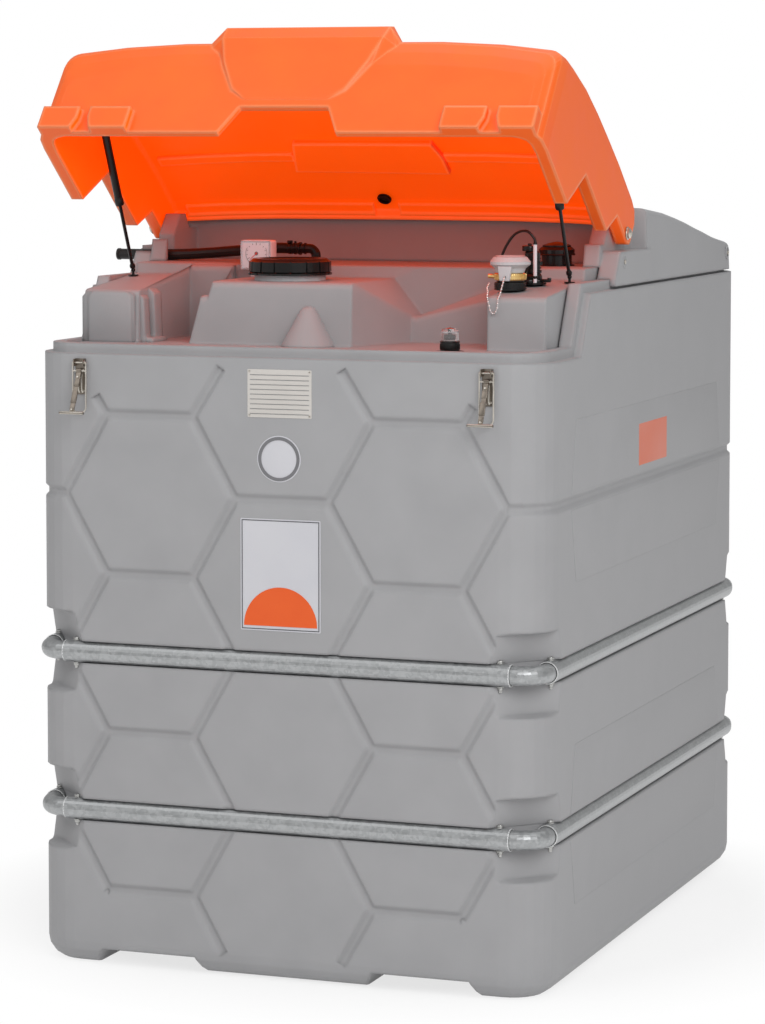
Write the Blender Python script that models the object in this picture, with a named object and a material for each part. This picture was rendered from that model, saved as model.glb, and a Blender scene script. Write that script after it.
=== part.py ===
"""Bunded diesel fuel tank with a hinged hood, modelled at its real size.

Metres, +Z up. The origin is the centre of the footprint on the ground,
the front face looks along -Y, and the hood stands open on its gas struts.
"""
import math

import bmesh
import bpy
from mathutils import Matrix, Vector

# Overall body
WIDTH = 1.180
DEPTH = 1.600
FRONT = -DEPTH / 2
REAR = DEPTH / 2
CORNER_RADIUS = 0.100
CORNER_STEPS = 6
BOTTOM_RADIUS = 0.050
WALL = 0.012
SEAT_GAP = 0.0003
BEYOND = 0.2

# Rim: the ledge and the lip above it step up from front to rear
LEDGE_Z = 1.347
SHOULDER_Z = LEDGE_Z + 0.133
BODY_TOP = SHOULDER_Z + 0.080
ABOVE_ALL = BODY_TOP + 0.340
SLANT_FOOT = 0.258
SLANT_RUN = 0.070
LIP_RISE = 0.021
LIP_INSET = 0.018
LIP_THICKNESS = 0.030
LIP_SHIFT = 0.012

# Tube rings and the pockets at the corners
TUBE_LEVELS = {"lower": 0.344, "upper": 0.692}
TUBE_RADIUS = 0.0242
TUBE_WALL = 0.0032
RAIL_SIDES = 24
TUBE_SETBACK = 0.0176
TUBE_END_X = WIDTH / 2 - 0.077
TUBE_END_Y = DEPTH / 2 - 0.079
TUBE_INSERT = 0.040
BEND_RADIUS = 0.055
POCKET_EDGE_LEG = 0.106
POCKET_LEG = 0.124
POCKET_HALF_HEIGHT = 0.084
POCKET_SLOPE = 0.006
POCKET_STEP = 0.001

# Hexagon grooves
HEX_CENTRE_X = WIDTH * 0.2606
HEX_HALF_WIDTH = WIDTH * 0.170
HEX_FLAT_HALF = WIDTH * 0.086
HEX_TOP_LEVEL = 1.042
HEX_PITCH = 0.348
GROOVE_MOUTH = 0.026
GROOVE_FLOOR = 0.012
GROOVE_DEPTH = 0.007
GROOVE_PROUD = 0.002

# Feet and forklift channels
CHANNEL_INNER = 0.205
CHANNEL_OUTER = CHANNEL_INNER + 0.220
CHANNEL_HEIGHT = 0.037
CHANNEL_SLOPE = 0.022
FLOOR_Z = CHANNEL_HEIGHT + 0.019

# Inner tank
INNER_INSET = 0.060
INNER_RADIUS = CORNER_RADIUS + 0.010
MOUTH_GAP = 0.004
FLARE_Z = LEDGE_Z - 0.077
INNER_FLOOR_Z = LEDGE_Z + 0.015
INNER_WALL = 0.010
BLOCK_FRONT = 0.170
BLOCK_EDGE_X = WIDTH / 2 - 0.184
BLOCK_TOP_FRONT = LEDGE_Z + 0.131
BLOCK_TOP_REAR = BLOCK_TOP_FRONT + 0.025
EDGE_SOFT = 0.012
STEP_RUN = 0.004
SHELF_FRONT = 0.450
SHELF_Z = SHOULDER_Z + 0.047
MOUND_FRONT = 0.175
MOUND_LEFT = -0.287
MOUND_RIGHT = 0.095
MOUND_TOP = LEDGE_Z + 0.153
MOUND_STEP_Z = MOUND_TOP - 0.033
VALLEY_FRONT = 0.380
VALLEY_X = MOUND_RIGHT + 0.063
VALLEY_Z = LEDGE_Z + 0.073

# Hinge of the hood
HINGE_Y = 0.642
HINGE_Z = SHOULDER_Z + 0.120
PIN_RADIUS = 0.006
PIN_CLEARANCE = 0.0005
PIN_HEAD_RADIUS = 0.012

# Rear cover
COVER_FRONT = 0.728
COVER_SIDE_FRONT = COVER_FRONT + 0.052
COVER_REAR = DEPTH - 0.003
COVER_HALF_WIDTH = WIDTH / 2 - 0.003
COVER_CORNER = CORNER_RADIUS - 0.003
COVER_EDGE_RADIUS = 0.014
COVER_WALL = 0.030
COVER_EDGE_Z = SHOULDER_Z + 0.006
COVER_CROWN = 0.020
COVER_DRAFT = 0.004
COVER_PROFILE = (
    # share of the way to the rear, drop of the side's top edge
    (0.000, 0.000), (0.070, 0.003), (0.240, 0.016), (0.370, 0.031), (0.470, 0.044),
    (0.570, 0.059), (0.650, 0.070), (0.750, 0.085), (0.820, 0.093), (0.900, 0.101), (1.000, 0.110),
)
COVER_SIDE_TOP = HINGE_Z + 0.055
SHOULDER_TOP = HINGE_Z - 0.039
CHEEK_TOP = HINGE_Z - 0.023
CHEEK_FRONT = 0.524

# Hood, drawn closed and then swung open
OPEN_ANGLE = math.radians(39.0)
HOOD_HALF_WIDTH = COVER_HALF_WIDTH - 0.010
HOOD_FRONT = 0.006
HOOD_REAR = HINGE_Y + 0.034
HOOD_WALL = 0.028
HOOD_FRONT_WALL = 0.014
HOOD_EDGE_Z = LEDGE_Z + 0.029
HOOD_EDGE_REAR_Z = SHOULDER_Z + 0.028
HOOD_ARM_Z = HINGE_Z - 0.015
HOOD_LOW = HOOD_EDGE_Z - 0.076
HOOD_RIDGE = HINGE_Z + 0.047
HOOD_STATIONS = (
    # share of the length, ridge and side heights above the front ridge, pull-in, edge radius
    (0.000, -0.085, -0.112, 0.040, 0.036),
    (0.006, -0.048, -0.076, 0.024, 0.036),
    (0.018, -0.016, -0.046, 0.010, 0.036),
    (0.040, 0.000, -0.026, 0.003, 0.034),
    (0.090, 0.009, -0.014, 0.000, 0.030),
    (0.150, 0.017, -0.004, 0.000, 0.026),
    (0.300, 0.035, 0.019, 0.000, 0.022),
    (0.450, 0.046, 0.032, 0.000, 0.020),
    (0.600, 0.054, 0.041, 0.000, 0.020),
    (0.750, 0.060, 0.048, 0.000, 0.020),
    (0.930, 0.062, 0.050, 0.000, 0.020),
    (0.975, 0.057, 0.045, 0.000, 0.020),
    (1.000, 0.036, 0.024, 0.000, 0.020),
)
PANEL_X = -0.012
PANEL_STATIONS = (
    # distance from the front, height above the ridge, rise of the outer face, half-widths below and above
    (0.0060, -0.181, (-0.0005, 0.000), 0.099, 0.096),
    (0.0060, -0.157, (-0.0040, 0.002), 0.138, 0.130),
    (0.0060, -0.085, (-0.0080, 0.003), 0.180, 0.166),
    (0.0080, -0.022, (-0.0100, 0.008), 0.218, 0.186),
    (0.0180, -0.006, (-0.0080, 0.030), 0.224, 0.190),
    (0.0400, 0.000, (-0.0060, 0.044), 0.224, 0.187),
    (0.1200, 0.013, (0.0000, 0.038), 0.222, 0.190),
    (0.3000, 0.036, (0.0000, 0.030), 0.220, 0.192),
    (0.5000, 0.050, (0.0000, 0.024), 0.220, 0.195),
    (0.6000, 0.054, (-0.0150, 0.010), 0.215, 0.200),
)
PANEL_DEPTH = 0.012
NOTCH_TOP_HALF = 0.101
NOTCH_HALF = 0.135
NOTCH_TOP = HOOD_EDGE_Z + 0.070
BLOCK_RISE = 0.058
BLOCK_PROUD = 0.018
PLUG_X = PANEL_X
PLUG_Y = HINGE_Y - 0.022
PLUG_RADIUS = 0.017
PLUG_HEIGHT = 0.007

# Cheeks that carry the hood
CHEEK_OUTER_X = HOOD_HALF_WIDTH - HOOD_WALL - 0.006
CHEEK_INNER_X = CHEEK_OUTER_X - 0.038
PIN_DEPTH = 0.030

# Fittings on the inner tank
CAP_CENTRE = ((MOUND_LEFT + MOUND_RIGHT) / 2 + 0.003, 0.290)
CAP_RADIUS = 0.088
CAP_HEIGHT = 0.036
COLLAR_RADIUS = CAP_RADIUS - 0.009
COLLAR_HEIGHT = 0.012
MANHOLE_RADIUS = COLLAR_RADIUS - 0.017
GAUGE_CENTRE = (MOUND_LEFT + 0.059, CAP_CENTRE[1] + 0.135)
GAUGE_SIZE = 0.074
GAUGE_DEPTH = 0.016
GAUGE_RISE = 0.049
HOSE_RADIUS = 0.0125
HOSE_Y = 0.575
HOSE_Z = SHELF_Z + HOSE_RADIUS + 0.001
HOSE_RISE = 0.019
HOSE_END_X = -COVER_HALF_WIDTH - 0.053
HOSE_BEND_X = -0.135
HOSE_BEND_RADIUS = 0.011
FILL_RADIUS = 0.034
FILL_CENTRE = (BLOCK_EDGE_X + 0.022, 0.262)
SENSOR_CENTRE = (BLOCK_EDGE_X + 0.044, 0.350)
SENSOR_FLANGE = 0.030
SENSOR_RADIUS = 0.021
VENT_CENTRE = (BLOCK_EDGE_X + 0.020, 0.600)
VENT_RADIUS = 0.034
LEAK_CENTRE = (BLOCK_EDGE_X - 0.056, 0.092)
LEAK_RADIUS = 0.0205

# Gas struts
STRUT_X = HOOD_HALF_WIDTH - 0.057
STRUT_FOOT = (0.395, BLOCK_TOP_REAR + 0.009)
STRUT_HEAD = (HINGE_Y - 0.424, HINGE_Z + 0.284)
STRUT_TUBE_RADIUS = 0.009
STRUT_ROD_RADIUS = 0.004
STRUT_TUBE_LENGTH = 0.245
STRUT_OVERLAP = 0.030
STUD_RADIUS = 0.006
FOOT_RADIUS = 0.012
BALL_RADIUS = 0.005

# Latches
LATCH_X = HOOD_HALF_WIDTH - 0.111
LATCH_TOP = LEDGE_Z - 0.011
LATCH_PLATE = (0.024, 0.078, 0.002)
LATCH_PIVOT_Z = LATCH_TOP - 0.008
LATCH_STANDOFF = 0.010
LATCH_WIRE_RADIUS = 0.002
LATCH_HALF_WIDTH = 0.0155
LATCH_LEVER_LENGTH = 0.096
LATCH_BORE_GAP = 0.0005
LATCH_EAR = 0.002
LATCH_EAR_REACH = 0.006
LATCH_BORE_REACH = 0.020
HOOK_DROP = 0.018
HOOK_LENGTH = 0.098
HOOK_TILT = math.radians(25.0)
HOOK_HALF_WIDTH = 0.005
HOOK_HALF_THICKNESS = 0.001
KNUCKLE_RADIUS = 0.0045
T_BAR_LENGTH = 0.058
T_BAR_RADIUS = 0.0027

MATERIALS = {
    "grey_plastic": ((0.43, 0.43, 0.45), 0.55, 0.0),
    "orange_plastic": ((1.0, 0.16, 0.02), 0.45, 0.0),
    "galvanised_steel": ((0.62, 0.62, 0.60), 0.35, 1.0),
    "latch_steel": ((0.70, 0.67, 0.62), 0.25, 1.0),
    "black_plastic": ((0.02, 0.02, 0.02), 0.35, 0.0),
    "black_rubber": ((0.03, 0.025, 0.025), 0.5, 0.0),
    "brass": ((0.85, 0.62, 0.25), 0.3, 1.0),
    "white_plastic": ((0.85, 0.85, 0.87), 0.4, 0.0),
    "clear_plastic": ((0.85, 0.80, 0.80), 0.1, 0.0),
    "pale_grey_plastic": ((0.55, 0.55, 0.57), 0.45, 0.0),
}


def clear_scene():
    """Remove every object, so the model starts from an empty scene."""
    for item in list(bpy.data.objects):
        bpy.data.objects.remove(item, do_unlink=True)


def material(name):
    """Return the named material, made on first use."""
    found = bpy.data.materials.get(name)
    if found:
        return found
    colour, roughness, metallic = MATERIALS[name]
    made = bpy.data.materials.new(name)
    made.use_nodes = True
    shader = made.node_tree.nodes["Principled BSDF"]
    shader.inputs["Base Color"].default_value = (*colour, 1.0)
    shader.inputs["Roughness"].default_value = roughness
    shader.inputs["Metallic"].default_value = metallic
    return made


def from_front(distance):
    """Turn a distance behind the front face into a Y coordinate."""
    return FRONT + distance


def make_object(name, bm, finish=None, parent=None):
    """Turn a bmesh into an object with outward faces."""
    bmesh.ops.remove_doubles(bm, verts=bm.verts, dist=0.00001)
    bmesh.ops.recalc_face_normals(bm, faces=bm.faces)
    mesh = bpy.data.meshes.new(name)
    bm.to_mesh(mesh)
    bm.free()
    item = bpy.data.objects.new(name, mesh)
    bpy.context.scene.collection.objects.link(item)
    if finish:
        mesh.materials.append(material(finish))
        mesh.shade_smooth()
        mesh.set_sharp_from_angle(angle=math.radians(35))
    else:
        item.hide_render = True
        item.display_type = "WIRE"
    if parent:
        item.parent = parent
        item.matrix_parent_inverse = parent.matrix_world.inverted()
    return item


def cut(item, cutter, operation="DIFFERENCE"):
    """Add an exact Boolean of one cutter to an object."""
    modifier = item.modifiers.new(cutter.name, "BOOLEAN")
    modifier.operation = operation
    modifier.solver = "EXACT"
    modifier.object = cutter
    return modifier


def cut_group(item, cutters, name, operation="DIFFERENCE"):
    """Add an exact Boolean of a whole collection of cutters."""
    group = bpy.data.collections.new(name)
    for cutter in cutters:
        group.objects.link(cutter)
    modifier = item.modifiers.new(name, "BOOLEAN")
    modifier.operation = operation
    modifier.solver = "EXACT"
    modifier.operand_type = "COLLECTION"
    modifier.collection = group
    return modifier


def loft(sections, closed=False):
    """Skin point loops of equal length; the two ends are capped."""
    bm = bmesh.new()
    rings = [[bm.verts.new(point) for point in section] for section in sections]
    count = len(rings[0])
    pairs = list(zip(rings, rings[1:]))
    if closed:
        pairs.append((rings[-1], rings[0]))
    for low, high in pairs:
        for i in range(count):
            j = (i + 1) % count
            bm.faces.new((low[i], low[j], high[j], high[i]))
    if not closed:
        bm.faces.new(list(reversed(rings[0])))
        bm.faces.new(rings[-1])
    return bm


def arc(centre, radius, start, end, steps):
    """Points of a flat arc, both ends included, angles in degrees."""
    points = []
    for step in range(steps + 1):
        angle = math.radians(start + (end - start) * step / steps)
        points.append((centre[0] + radius * math.cos(angle), centre[1] + radius * math.sin(angle)))
    return points


def box(name, low, high, finish=None, parent=None):
    """A plain block between two corners."""
    bm = bmesh.new()
    bmesh.ops.create_cube(bm, size=1.0)
    size = Vector(high) - Vector(low)
    middle = (Vector(high) + Vector(low)) / 2
    bmesh.ops.transform(bm, matrix=Matrix.Translation(middle) @ Matrix.Diagonal((*size, 1.0)), verts=bm.verts)
    return make_object(name, bm, finish, parent)


def prism(name, outline, axis, low, high, finish=None, parent=None):
    """Extrude a flat outline along X, Y or Z."""
    def place(point, along):
        if axis == "X":
            return (along, point[0], point[1])
        if axis == "Y":
            return (point[0], along, point[1])
        return (point[0], point[1], along)
    sections = [[place(point, along) for point in outline] for along in (low, high)]
    return make_object(name, loft(sections), finish, parent)


def turned(name, profile, centre, finish=None, steps=32, axis="Z", parent=None, bore=False):
    """Revolve a (radius, height) profile; with bore the loop closes on itself."""
    bm = bmesh.new()
    rings = []
    for radius, height in profile:
        if radius < 1e-6:
            rings.append([bm.verts.new((0.0, 0.0, height))])
            continue
        ring = []
        for step in range(steps):
            angle = 2 * math.pi * step / steps
            ring.append(bm.verts.new((radius * math.cos(angle), radius * math.sin(angle), height)))
        rings.append(ring)
    pairs = list(zip(rings, rings[1:]))
    if bore:
        pairs.append((rings[-1], rings[0]))
    for low, high in pairs:
        for i in range(steps):
            j = (i + 1) % steps
            corners = [low[i % len(low)], low[j % len(low)], high[j % len(high)], high[i % len(high)]]
            unique = list(dict.fromkeys(corners))
            if len(unique) > 2:
                bm.faces.new(unique)
    turn = {"Z": Matrix.Identity(4), "X": Matrix.Rotation(math.pi / 2, 4, "Y"),
            "Y": Matrix.Rotation(-math.pi / 2, 4, "X")}[axis]
    bmesh.ops.transform(bm, matrix=Matrix.Translation(centre) @ turn, verts=bm.verts)
    return make_object(name, bm, finish, parent)


def rod_between(name, start, end, radius, finish=None, steps=12, parent=None):
    """A straight round bar between two points."""
    start, end = Vector(start), Vector(end)
    way = end - start
    bm = bmesh.new()
    bmesh.ops.create_cone(bm, cap_ends=True, segments=steps, radius1=radius, radius2=radius, depth=way.length)
    turn = way.to_track_quat("Z", "Y").to_matrix().to_4x4()
    bmesh.ops.transform(bm, matrix=Matrix.Translation((start + end) / 2) @ turn, verts=bm.verts)
    return make_object(name, bm, finish, parent)


def sweep(path, normals, section):
    """Sweep a (side, out) section along a path with its own outward normals."""
    path = [Vector(point) for point in path]
    sections = []
    for i, point in enumerate(path):
        ahead = path[min(i + 1, len(path) - 1)]
        behind = path[max(i - 1, 0)]
        way = (ahead - behind).normalized()
        out = Vector(normals[i]).normalized()
        side = way.cross(out).normalized()
        sections.append([tuple(point + side * s + out * o) for s, o in section])
    return loft(sections)


def tube_along(name, path, radius, finish, sides=8):
    """A round bar along a smooth path, its rings turned without twist."""
    path = [Vector(point) for point in path]
    across = Vector((0, 1, 0))
    sections = []
    for i, point in enumerate(path):
        way = (path[min(i + 1, len(path) - 1)] - path[max(i - 1, 0)]).normalized()
        across = (across - way * across.dot(way)).normalized()
        over = way.cross(across)
        ring = []
        for step in range(sides):
            angle = 2 * math.pi * step / sides
            ring.append(tuple(point + across * radius * math.cos(angle) + over * radius * math.sin(angle)))
        sections.append(ring)
    return make_object(name, loft(sections), finish)


def smooth_route(points, steps=6):
    """Catmull-Rom points through a short hand-picked route."""
    points = [Vector(point) for point in points]
    ends = [points[0] * 2 - points[1]] + points + [points[-1] * 2 - points[-2]]
    route = []
    for i in range(1, len(ends) - 2):
        a, b, c, d = ends[i - 1:i + 3]
        for step in range(steps):
            t = step / steps
            route.append(0.5 * ((2 * b) + (c - a) * t + (2 * a - 5 * b + 4 * c - d) * t ** 2
                                + (3 * b - a - 3 * c + d) * t ** 3))
    route.append(points[-1])
    return [tuple(point) for point in route]


def body_outline(inset, leg=None, radius=None):
    """Plan outline pulled in by inset; corners round, or cut flat by leg."""
    half_x = WIDTH / 2 - inset
    half_y = DEPTH / 2 - inset
    radius = radius or max(CORNER_RADIUS - inset, 0.02)
    points = []
    for sx, sy, start in ((1, -1, -90), (1, 1, 0), (-1, 1, 90), (-1, -1, 180)):
        if leg is None:
            centre = (sx * (half_x - radius), sy * (half_y - radius))
            points += arc(centre, radius, start, start + 90, CORNER_STEPS)
            continue
        first = (sx * (half_x - leg), sy * half_y)
        second = (sx * half_x, sy * (half_y - leg))
        if sx * sy > 0:
            first, second = second, first
        for step in range(CORNER_STEPS + 1):
            share = step / CORNER_STEPS
            points.append((first[0] + (second[0] - first[0]) * share,
                           first[1] + (second[1] - first[1]) * share))
    return points


def body_levels(offset, low, high):
    """Levels (z, inset, leg) of the body skin, moved inward by offset."""
    levels = []
    if offset == 0:
        for step in range(5):
            angle = math.radians(90 * step / 4)
            levels.append((BOTTOM_RADIUS * (1 - math.cos(angle)) + low,
                           BOTTOM_RADIUS * (1 - math.sin(angle)), None))
    else:
        levels.append((low, offset, None))
    groove = TUBE_RADIUS + SEAT_GAP + offset
    for level in sorted(TUBE_LEVELS.values()):
        half = POCKET_HALF_HEIGHT + offset
        edge_leg = POCKET_EDGE_LEG + offset * (math.sqrt(2) - 2)
        leg = POCKET_LEG + offset * (math.sqrt(2) - 2)
        levels.append((level - half - POCKET_SLOPE, offset, None))
        levels.append((level - half, offset, edge_leg))
        levels.append((level - groove, offset, leg))
        steps = RAIL_SIDES // 2 if offset == 0 else 4
        for step in range(steps + 1):
            angle = math.radians(-90 + 180 * step / steps)
            inset = TUBE_SETBACK + groove * math.cos(angle)
            shift = max(inset, offset)
            levels.append((level + groove * math.sin(angle), shift, leg + POCKET_STEP - 2 * (shift - offset)))
        levels.append((level + groove, offset, leg))
        levels.append((level + half, offset, edge_leg))
        levels.append((level + half + POCKET_SLOPE, offset, None))
    levels.append((high, offset, None))
    return levels


def body_skin(offset, low, high):
    """Closed solid of the body's outer shape, moved inward by offset."""
    sections = []
    for z, inset, leg in body_levels(offset, low, high):
        sections.append([(x, y, z) for x, y in body_outline(inset, leg)])
    return loft(sections)


def rim_line(drop, shift=0.0):
    """Side view of the rim, lowered by drop and moved back by shift."""
    foot = SLANT_FOOT + shift
    return [(from_front(-BEYOND), LEDGE_Z - drop), (from_front(foot), LEDGE_Z - drop),
            (from_front(foot + SLANT_RUN), SHOULDER_Z - drop), (REAR + BEYOND, SHOULDER_Z - drop)]


def above_rim(name, drop, shift=0.0):
    """Cutter that takes away everything above a rim line."""
    outline = rim_line(drop, shift) + [(REAR + BEYOND, ABOVE_ALL), (from_front(-BEYOND), ABOVE_ALL)]
    return prism(name, outline, "X", -WIDTH, WIDTH)


def plan_prism(name, inset, low, high, radius=None):
    """Upright block with the body's rounded plan, pulled in by inset."""
    outline = body_outline(inset, None, radius)
    return make_object(name, loft([[(x, y, z) for x, y in outline] for z in (low, high)]))


def groove_section():
    """Section of a groove cutter: wide mouth just outside, narrow floor."""
    flare = (GROOVE_MOUTH - GROOVE_FLOOR) / 2 / GROOVE_DEPTH * GROOVE_PROUD
    return [(-GROOVE_MOUTH / 2 - flare, GROOVE_PROUD), (GROOVE_MOUTH / 2 + flare, GROOVE_PROUD),
            (GROOVE_FLOOR / 2, -GROOVE_DEPTH), (-GROOVE_FLOOR / 2, -GROOVE_DEPTH)]


def front_groove(name, start, end):
    """One straight groove cutter on the front face, from (x, z) to (x, z)."""
    path = [(start[0], FRONT, start[1]), (end[0], FRONT, end[1])]
    return make_object(name, sweep(path, [(0, -1, 0)] * 2, groove_section()))


def belt_groove():
    """The level groove from one front vertex round the rear to the other."""
    outer_x = HEX_CENTRE_X + HEX_HALF_WIDTH
    reach = max(0.0, outer_x - (WIDTH / 2 - CORNER_RADIUS))
    turn = math.asin(reach / CORNER_RADIUS)
    start_y = FRONT + CORNER_RADIUS * (1 - math.cos(turn))
    points, normals = [(outer_x, start_y)], [(math.sin(turn), -math.cos(turn))]
    outline = body_outline(0.0)
    count = CORNER_STEPS + 1
    for corner, first in enumerate((-90, 0, 90, 180)):
        for step in range(count):
            angle = math.radians(first + 90 * step / CORNER_STEPS)
            place = outline[corner * count + step]
            if place[1] < start_y + WALL / 100 and abs(place[0]) < outer_x + WALL / 10:
                continue
            points.append(place)
            normals.append((math.cos(angle), math.sin(angle)))
    points.append((-outer_x, start_y))
    normals.append((-math.sin(turn), -math.cos(turn)))
    path = [(x, y, HEX_TOP_LEVEL) for x, y in points]
    return make_object("belt_groove_cutter", sweep(path, [(x, y, 0) for x, y in normals], groove_section()))


def hex_segments():
    """Straight groove runs of the front pattern, as (start, end) in (x, z)."""
    inner_x = HEX_CENTRE_X - HEX_HALF_WIDTH
    outer_x = HEX_CENTRE_X + HEX_HALF_WIDTH
    near_x = HEX_CENTRE_X - HEX_FLAT_HALF
    far_x = HEX_CENTRE_X + HEX_FLAT_HALF
    half = HEX_PITCH / 2
    top = HEX_TOP_LEVEL + half
    bottom = top - 3 * HEX_PITCH
    segments = []
    for side in (-1, 1):
        for row in range(4):
            z = top - row * HEX_PITCH
            segments.append(((side * near_x, z), (side * far_x, z)))
        for row in range(3):
            z = top - row * HEX_PITCH
            for edge, flat in ((inner_x, near_x), (outer_x, far_x)):
                segments.append(((side * flat, z), (side * edge, z - half)))
                segments.append(((side * edge, z - half), (side * flat, z - HEX_PITCH)))
        segments.append(((side * near_x, top), (side * (near_x - 0.068), top + 0.108)))
        segments.append(((side * far_x, top), (side * (far_x + 0.024), top + 0.040)))
        segments.append(((side * near_x, bottom), (side * (inner_x + 0.030), BOTTOM_RADIUS)))
    segments.append(((-inner_x, HEX_TOP_LEVEL), (inner_x, HEX_TOP_LEVEL)))
    return segments


def outer_tank():
    """The bund: a moulded shell, open at the top, with ledge and lip."""
    body = make_object("outer_tank", body_skin(0, 0.0, BODY_TOP), "grey_plastic")
    cut(body, above_rim("ledge_cutter", 0.0))
    lip = plan_prism("lip_former", LIP_INSET, FLARE_Z, BODY_TOP + LIP_RISE)
    cut(lip, above_rim("lip_top_cutter", -LIP_RISE, -LIP_SHIFT))
    cut(body, lip, "UNION")
    cavity = make_object("cavity_former", body_skin(WALL, FLOOR_Z, BODY_TOP))
    cut(cavity, above_rim("cavity_top_cutter", WALL, WALL / 3))
    cut(body, cavity)
    cut(body, plan_prism("mouth_cutter", LIP_INSET + LIP_THICKNESS, FLARE_Z - LIP_RISE, ABOVE_ALL))
    grooves = []
    for i, (start, end) in enumerate(hex_segments()):
        grooves.append(front_groove("groove_cutter_%02d" % i, start, end))
    grooves.append(belt_groove())
    cut_group(body, grooves, "grooves")
    channels = []
    for side in (-1, 1):
        low, high = CHANNEL_INNER - CHANNEL_SLOPE, CHANNEL_OUTER + CHANNEL_SLOPE
        outline = [(side * low, -WALL), (side * high, -WALL), (side * high, 0.0),
                   (side * CHANNEL_OUTER, CHANNEL_HEIGHT), (side * CHANNEL_INNER, CHANNEL_HEIGHT), (side * low, 0.0)]
        channels.append(prism("channel_cutter_%d" % (side + 1), outline, "Y", FRONT - BEYOND, REAR + BEYOND))
    cut_group(body, channels, "channels")
    return body


def inner_section(x, front, top_front, top_back):
    """Side view (y, z) of the inner tank's top at one x."""
    edge = min(EDGE_SOFT, (top_front - INNER_FLOOR_Z) / 2)
    back = min(top_back, SHELF_Z)
    shelf = max(SHELF_FRONT, front + 2 * EDGE_SOFT)
    bottom = FLOOR_Z + SEAT_GAP
    points = [(FRONT, bottom), (FRONT, INNER_FLOOR_Z), (from_front(front), INNER_FLOOR_Z),
              (from_front(front + STEP_RUN), top_front - edge),
              (from_front(front + STEP_RUN + edge * 0.3), top_front - edge * 0.3),
              (from_front(front + STEP_RUN + edge), top_front),
              (from_front(shelf), back),
              (from_front(shelf + EDGE_SOFT / 2), SHELF_Z - STEP_RUN / 2),
              (from_front(shelf + EDGE_SOFT), SHELF_Z), (REAR, SHELF_Z), (REAR, bottom)]
    return [(x, y, z) for y, z in points]


def inner_tank():
    """The vessel: hollow, its top stepped into blocks, mound and valley."""
    edge = WIDTH / 2
    low_top = INNER_FLOOR_Z + STEP_RUN
    shelf = SHELF_Z - STEP_RUN
    behind = SHELF_FRONT - 0.010
    block = (BLOCK_FRONT, BLOCK_TOP_FRONT, BLOCK_TOP_REAR)
    sections = [
        inner_section(-edge, *block),
        inner_section(-BLOCK_EDGE_X, *block),
        inner_section(-BLOCK_EDGE_X + 0.006, behind, shelf, shelf),
        inner_section(MOUND_LEFT - 0.010, behind, shelf, shelf),
        inner_section(MOUND_LEFT, MOUND_FRONT, low_top, low_top),
        inner_section(MOUND_LEFT + 0.025, MOUND_FRONT, MOUND_STEP_Z, MOUND_STEP_Z),
        inner_section(MOUND_LEFT + 0.043, MOUND_FRONT, MOUND_STEP_Z + 0.003, MOUND_STEP_Z + 0.003),
        inner_section(MOUND_LEFT + 0.053, MOUND_FRONT, MOUND_TOP, MOUND_TOP),
        inner_section(MOUND_RIGHT, MOUND_FRONT, MOUND_TOP, MOUND_TOP),
        inner_section(VALLEY_X, VALLEY_FRONT, VALLEY_Z, VALLEY_Z),
        inner_section(VALLEY_X + 0.012, VALLEY_FRONT, VALLEY_Z, VALLEY_Z),
        inner_section(BLOCK_EDGE_X - 0.006, VALLEY_FRONT, BLOCK_TOP_FRONT, BLOCK_TOP_REAR),
        inner_section(BLOCK_EDGE_X, *block),
        inner_section(edge, *block),
    ]
    tank = make_object("inner_tank", loft(sections), "grey_plastic")
    plan = plan_prism("inner_plan", INNER_INSET, FLOOR_Z - INNER_WALL, ABOVE_ALL, INNER_RADIUS)
    flare = plan_prism("inner_flare", LIP_INSET + LIP_THICKNESS + MOUTH_GAP, FLARE_Z, ABOVE_ALL + INNER_WALL)
    cut(plan, flare, "UNION")
    cut(tank, plan, "INTERSECT")
    hollow = plan_prism("inner_hollow", INNER_INSET + INNER_WALL, FLOOR_Z + INNER_WALL,
                        INNER_FLOOR_Z - INNER_WALL, INNER_RADIUS - INNER_WALL)
    cut(tank, hollow)
    mound_hollow = box("mound_hollow", (MOUND_LEFT + 0.07, from_front(MOUND_FRONT + 0.02), FLARE_Z + 0.03),
                       (MOUND_RIGHT - 0.02, REAR - INNER_INSET - 0.05, MOUND_TOP - 0.014))
    cut(tank, mound_hollow)
    bore = [(0, MOUND_TOP - 0.06), (MANHOLE_RADIUS, MOUND_TOP - 0.06), (MANHOLE_RADIUS, ABOVE_ALL), (0, ABOVE_ALL)]
    cut(tank, turned("manhole_cutter", bore, (CAP_CENTRE[0], from_front(CAP_CENTRE[1]), 0)))
    return tank


def along_profile(profile, share):
    """Value of a (share, value) profile at one share, in straight steps."""
    for (low, first), (high, last) in zip(profile, profile[1:]):
        if share <= high:
            return first + (last - first) * (share - low) / (high - low)
    return profile[-1][1]


def cover_half_section(y, side_top, half_width, low):
    """Inverted-U outline of the rear cover at one station."""
    radius = COVER_EDGE_RADIUS
    flank = half_width - COVER_DRAFT
    points = [(half_width, y, low)]
    points += [(x, y, z) for x, z in arc((flank - radius, side_top - radius), radius, 0, 90, 4)]
    points.append((half_width * 0.5, y, side_top + COVER_CROWN * 0.75))
    points.append((0.0, y, side_top + COVER_CROWN))
    mirrored = [(-x, py, z) for x, py, z in reversed(points[:-1])]
    return points + mirrored


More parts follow.
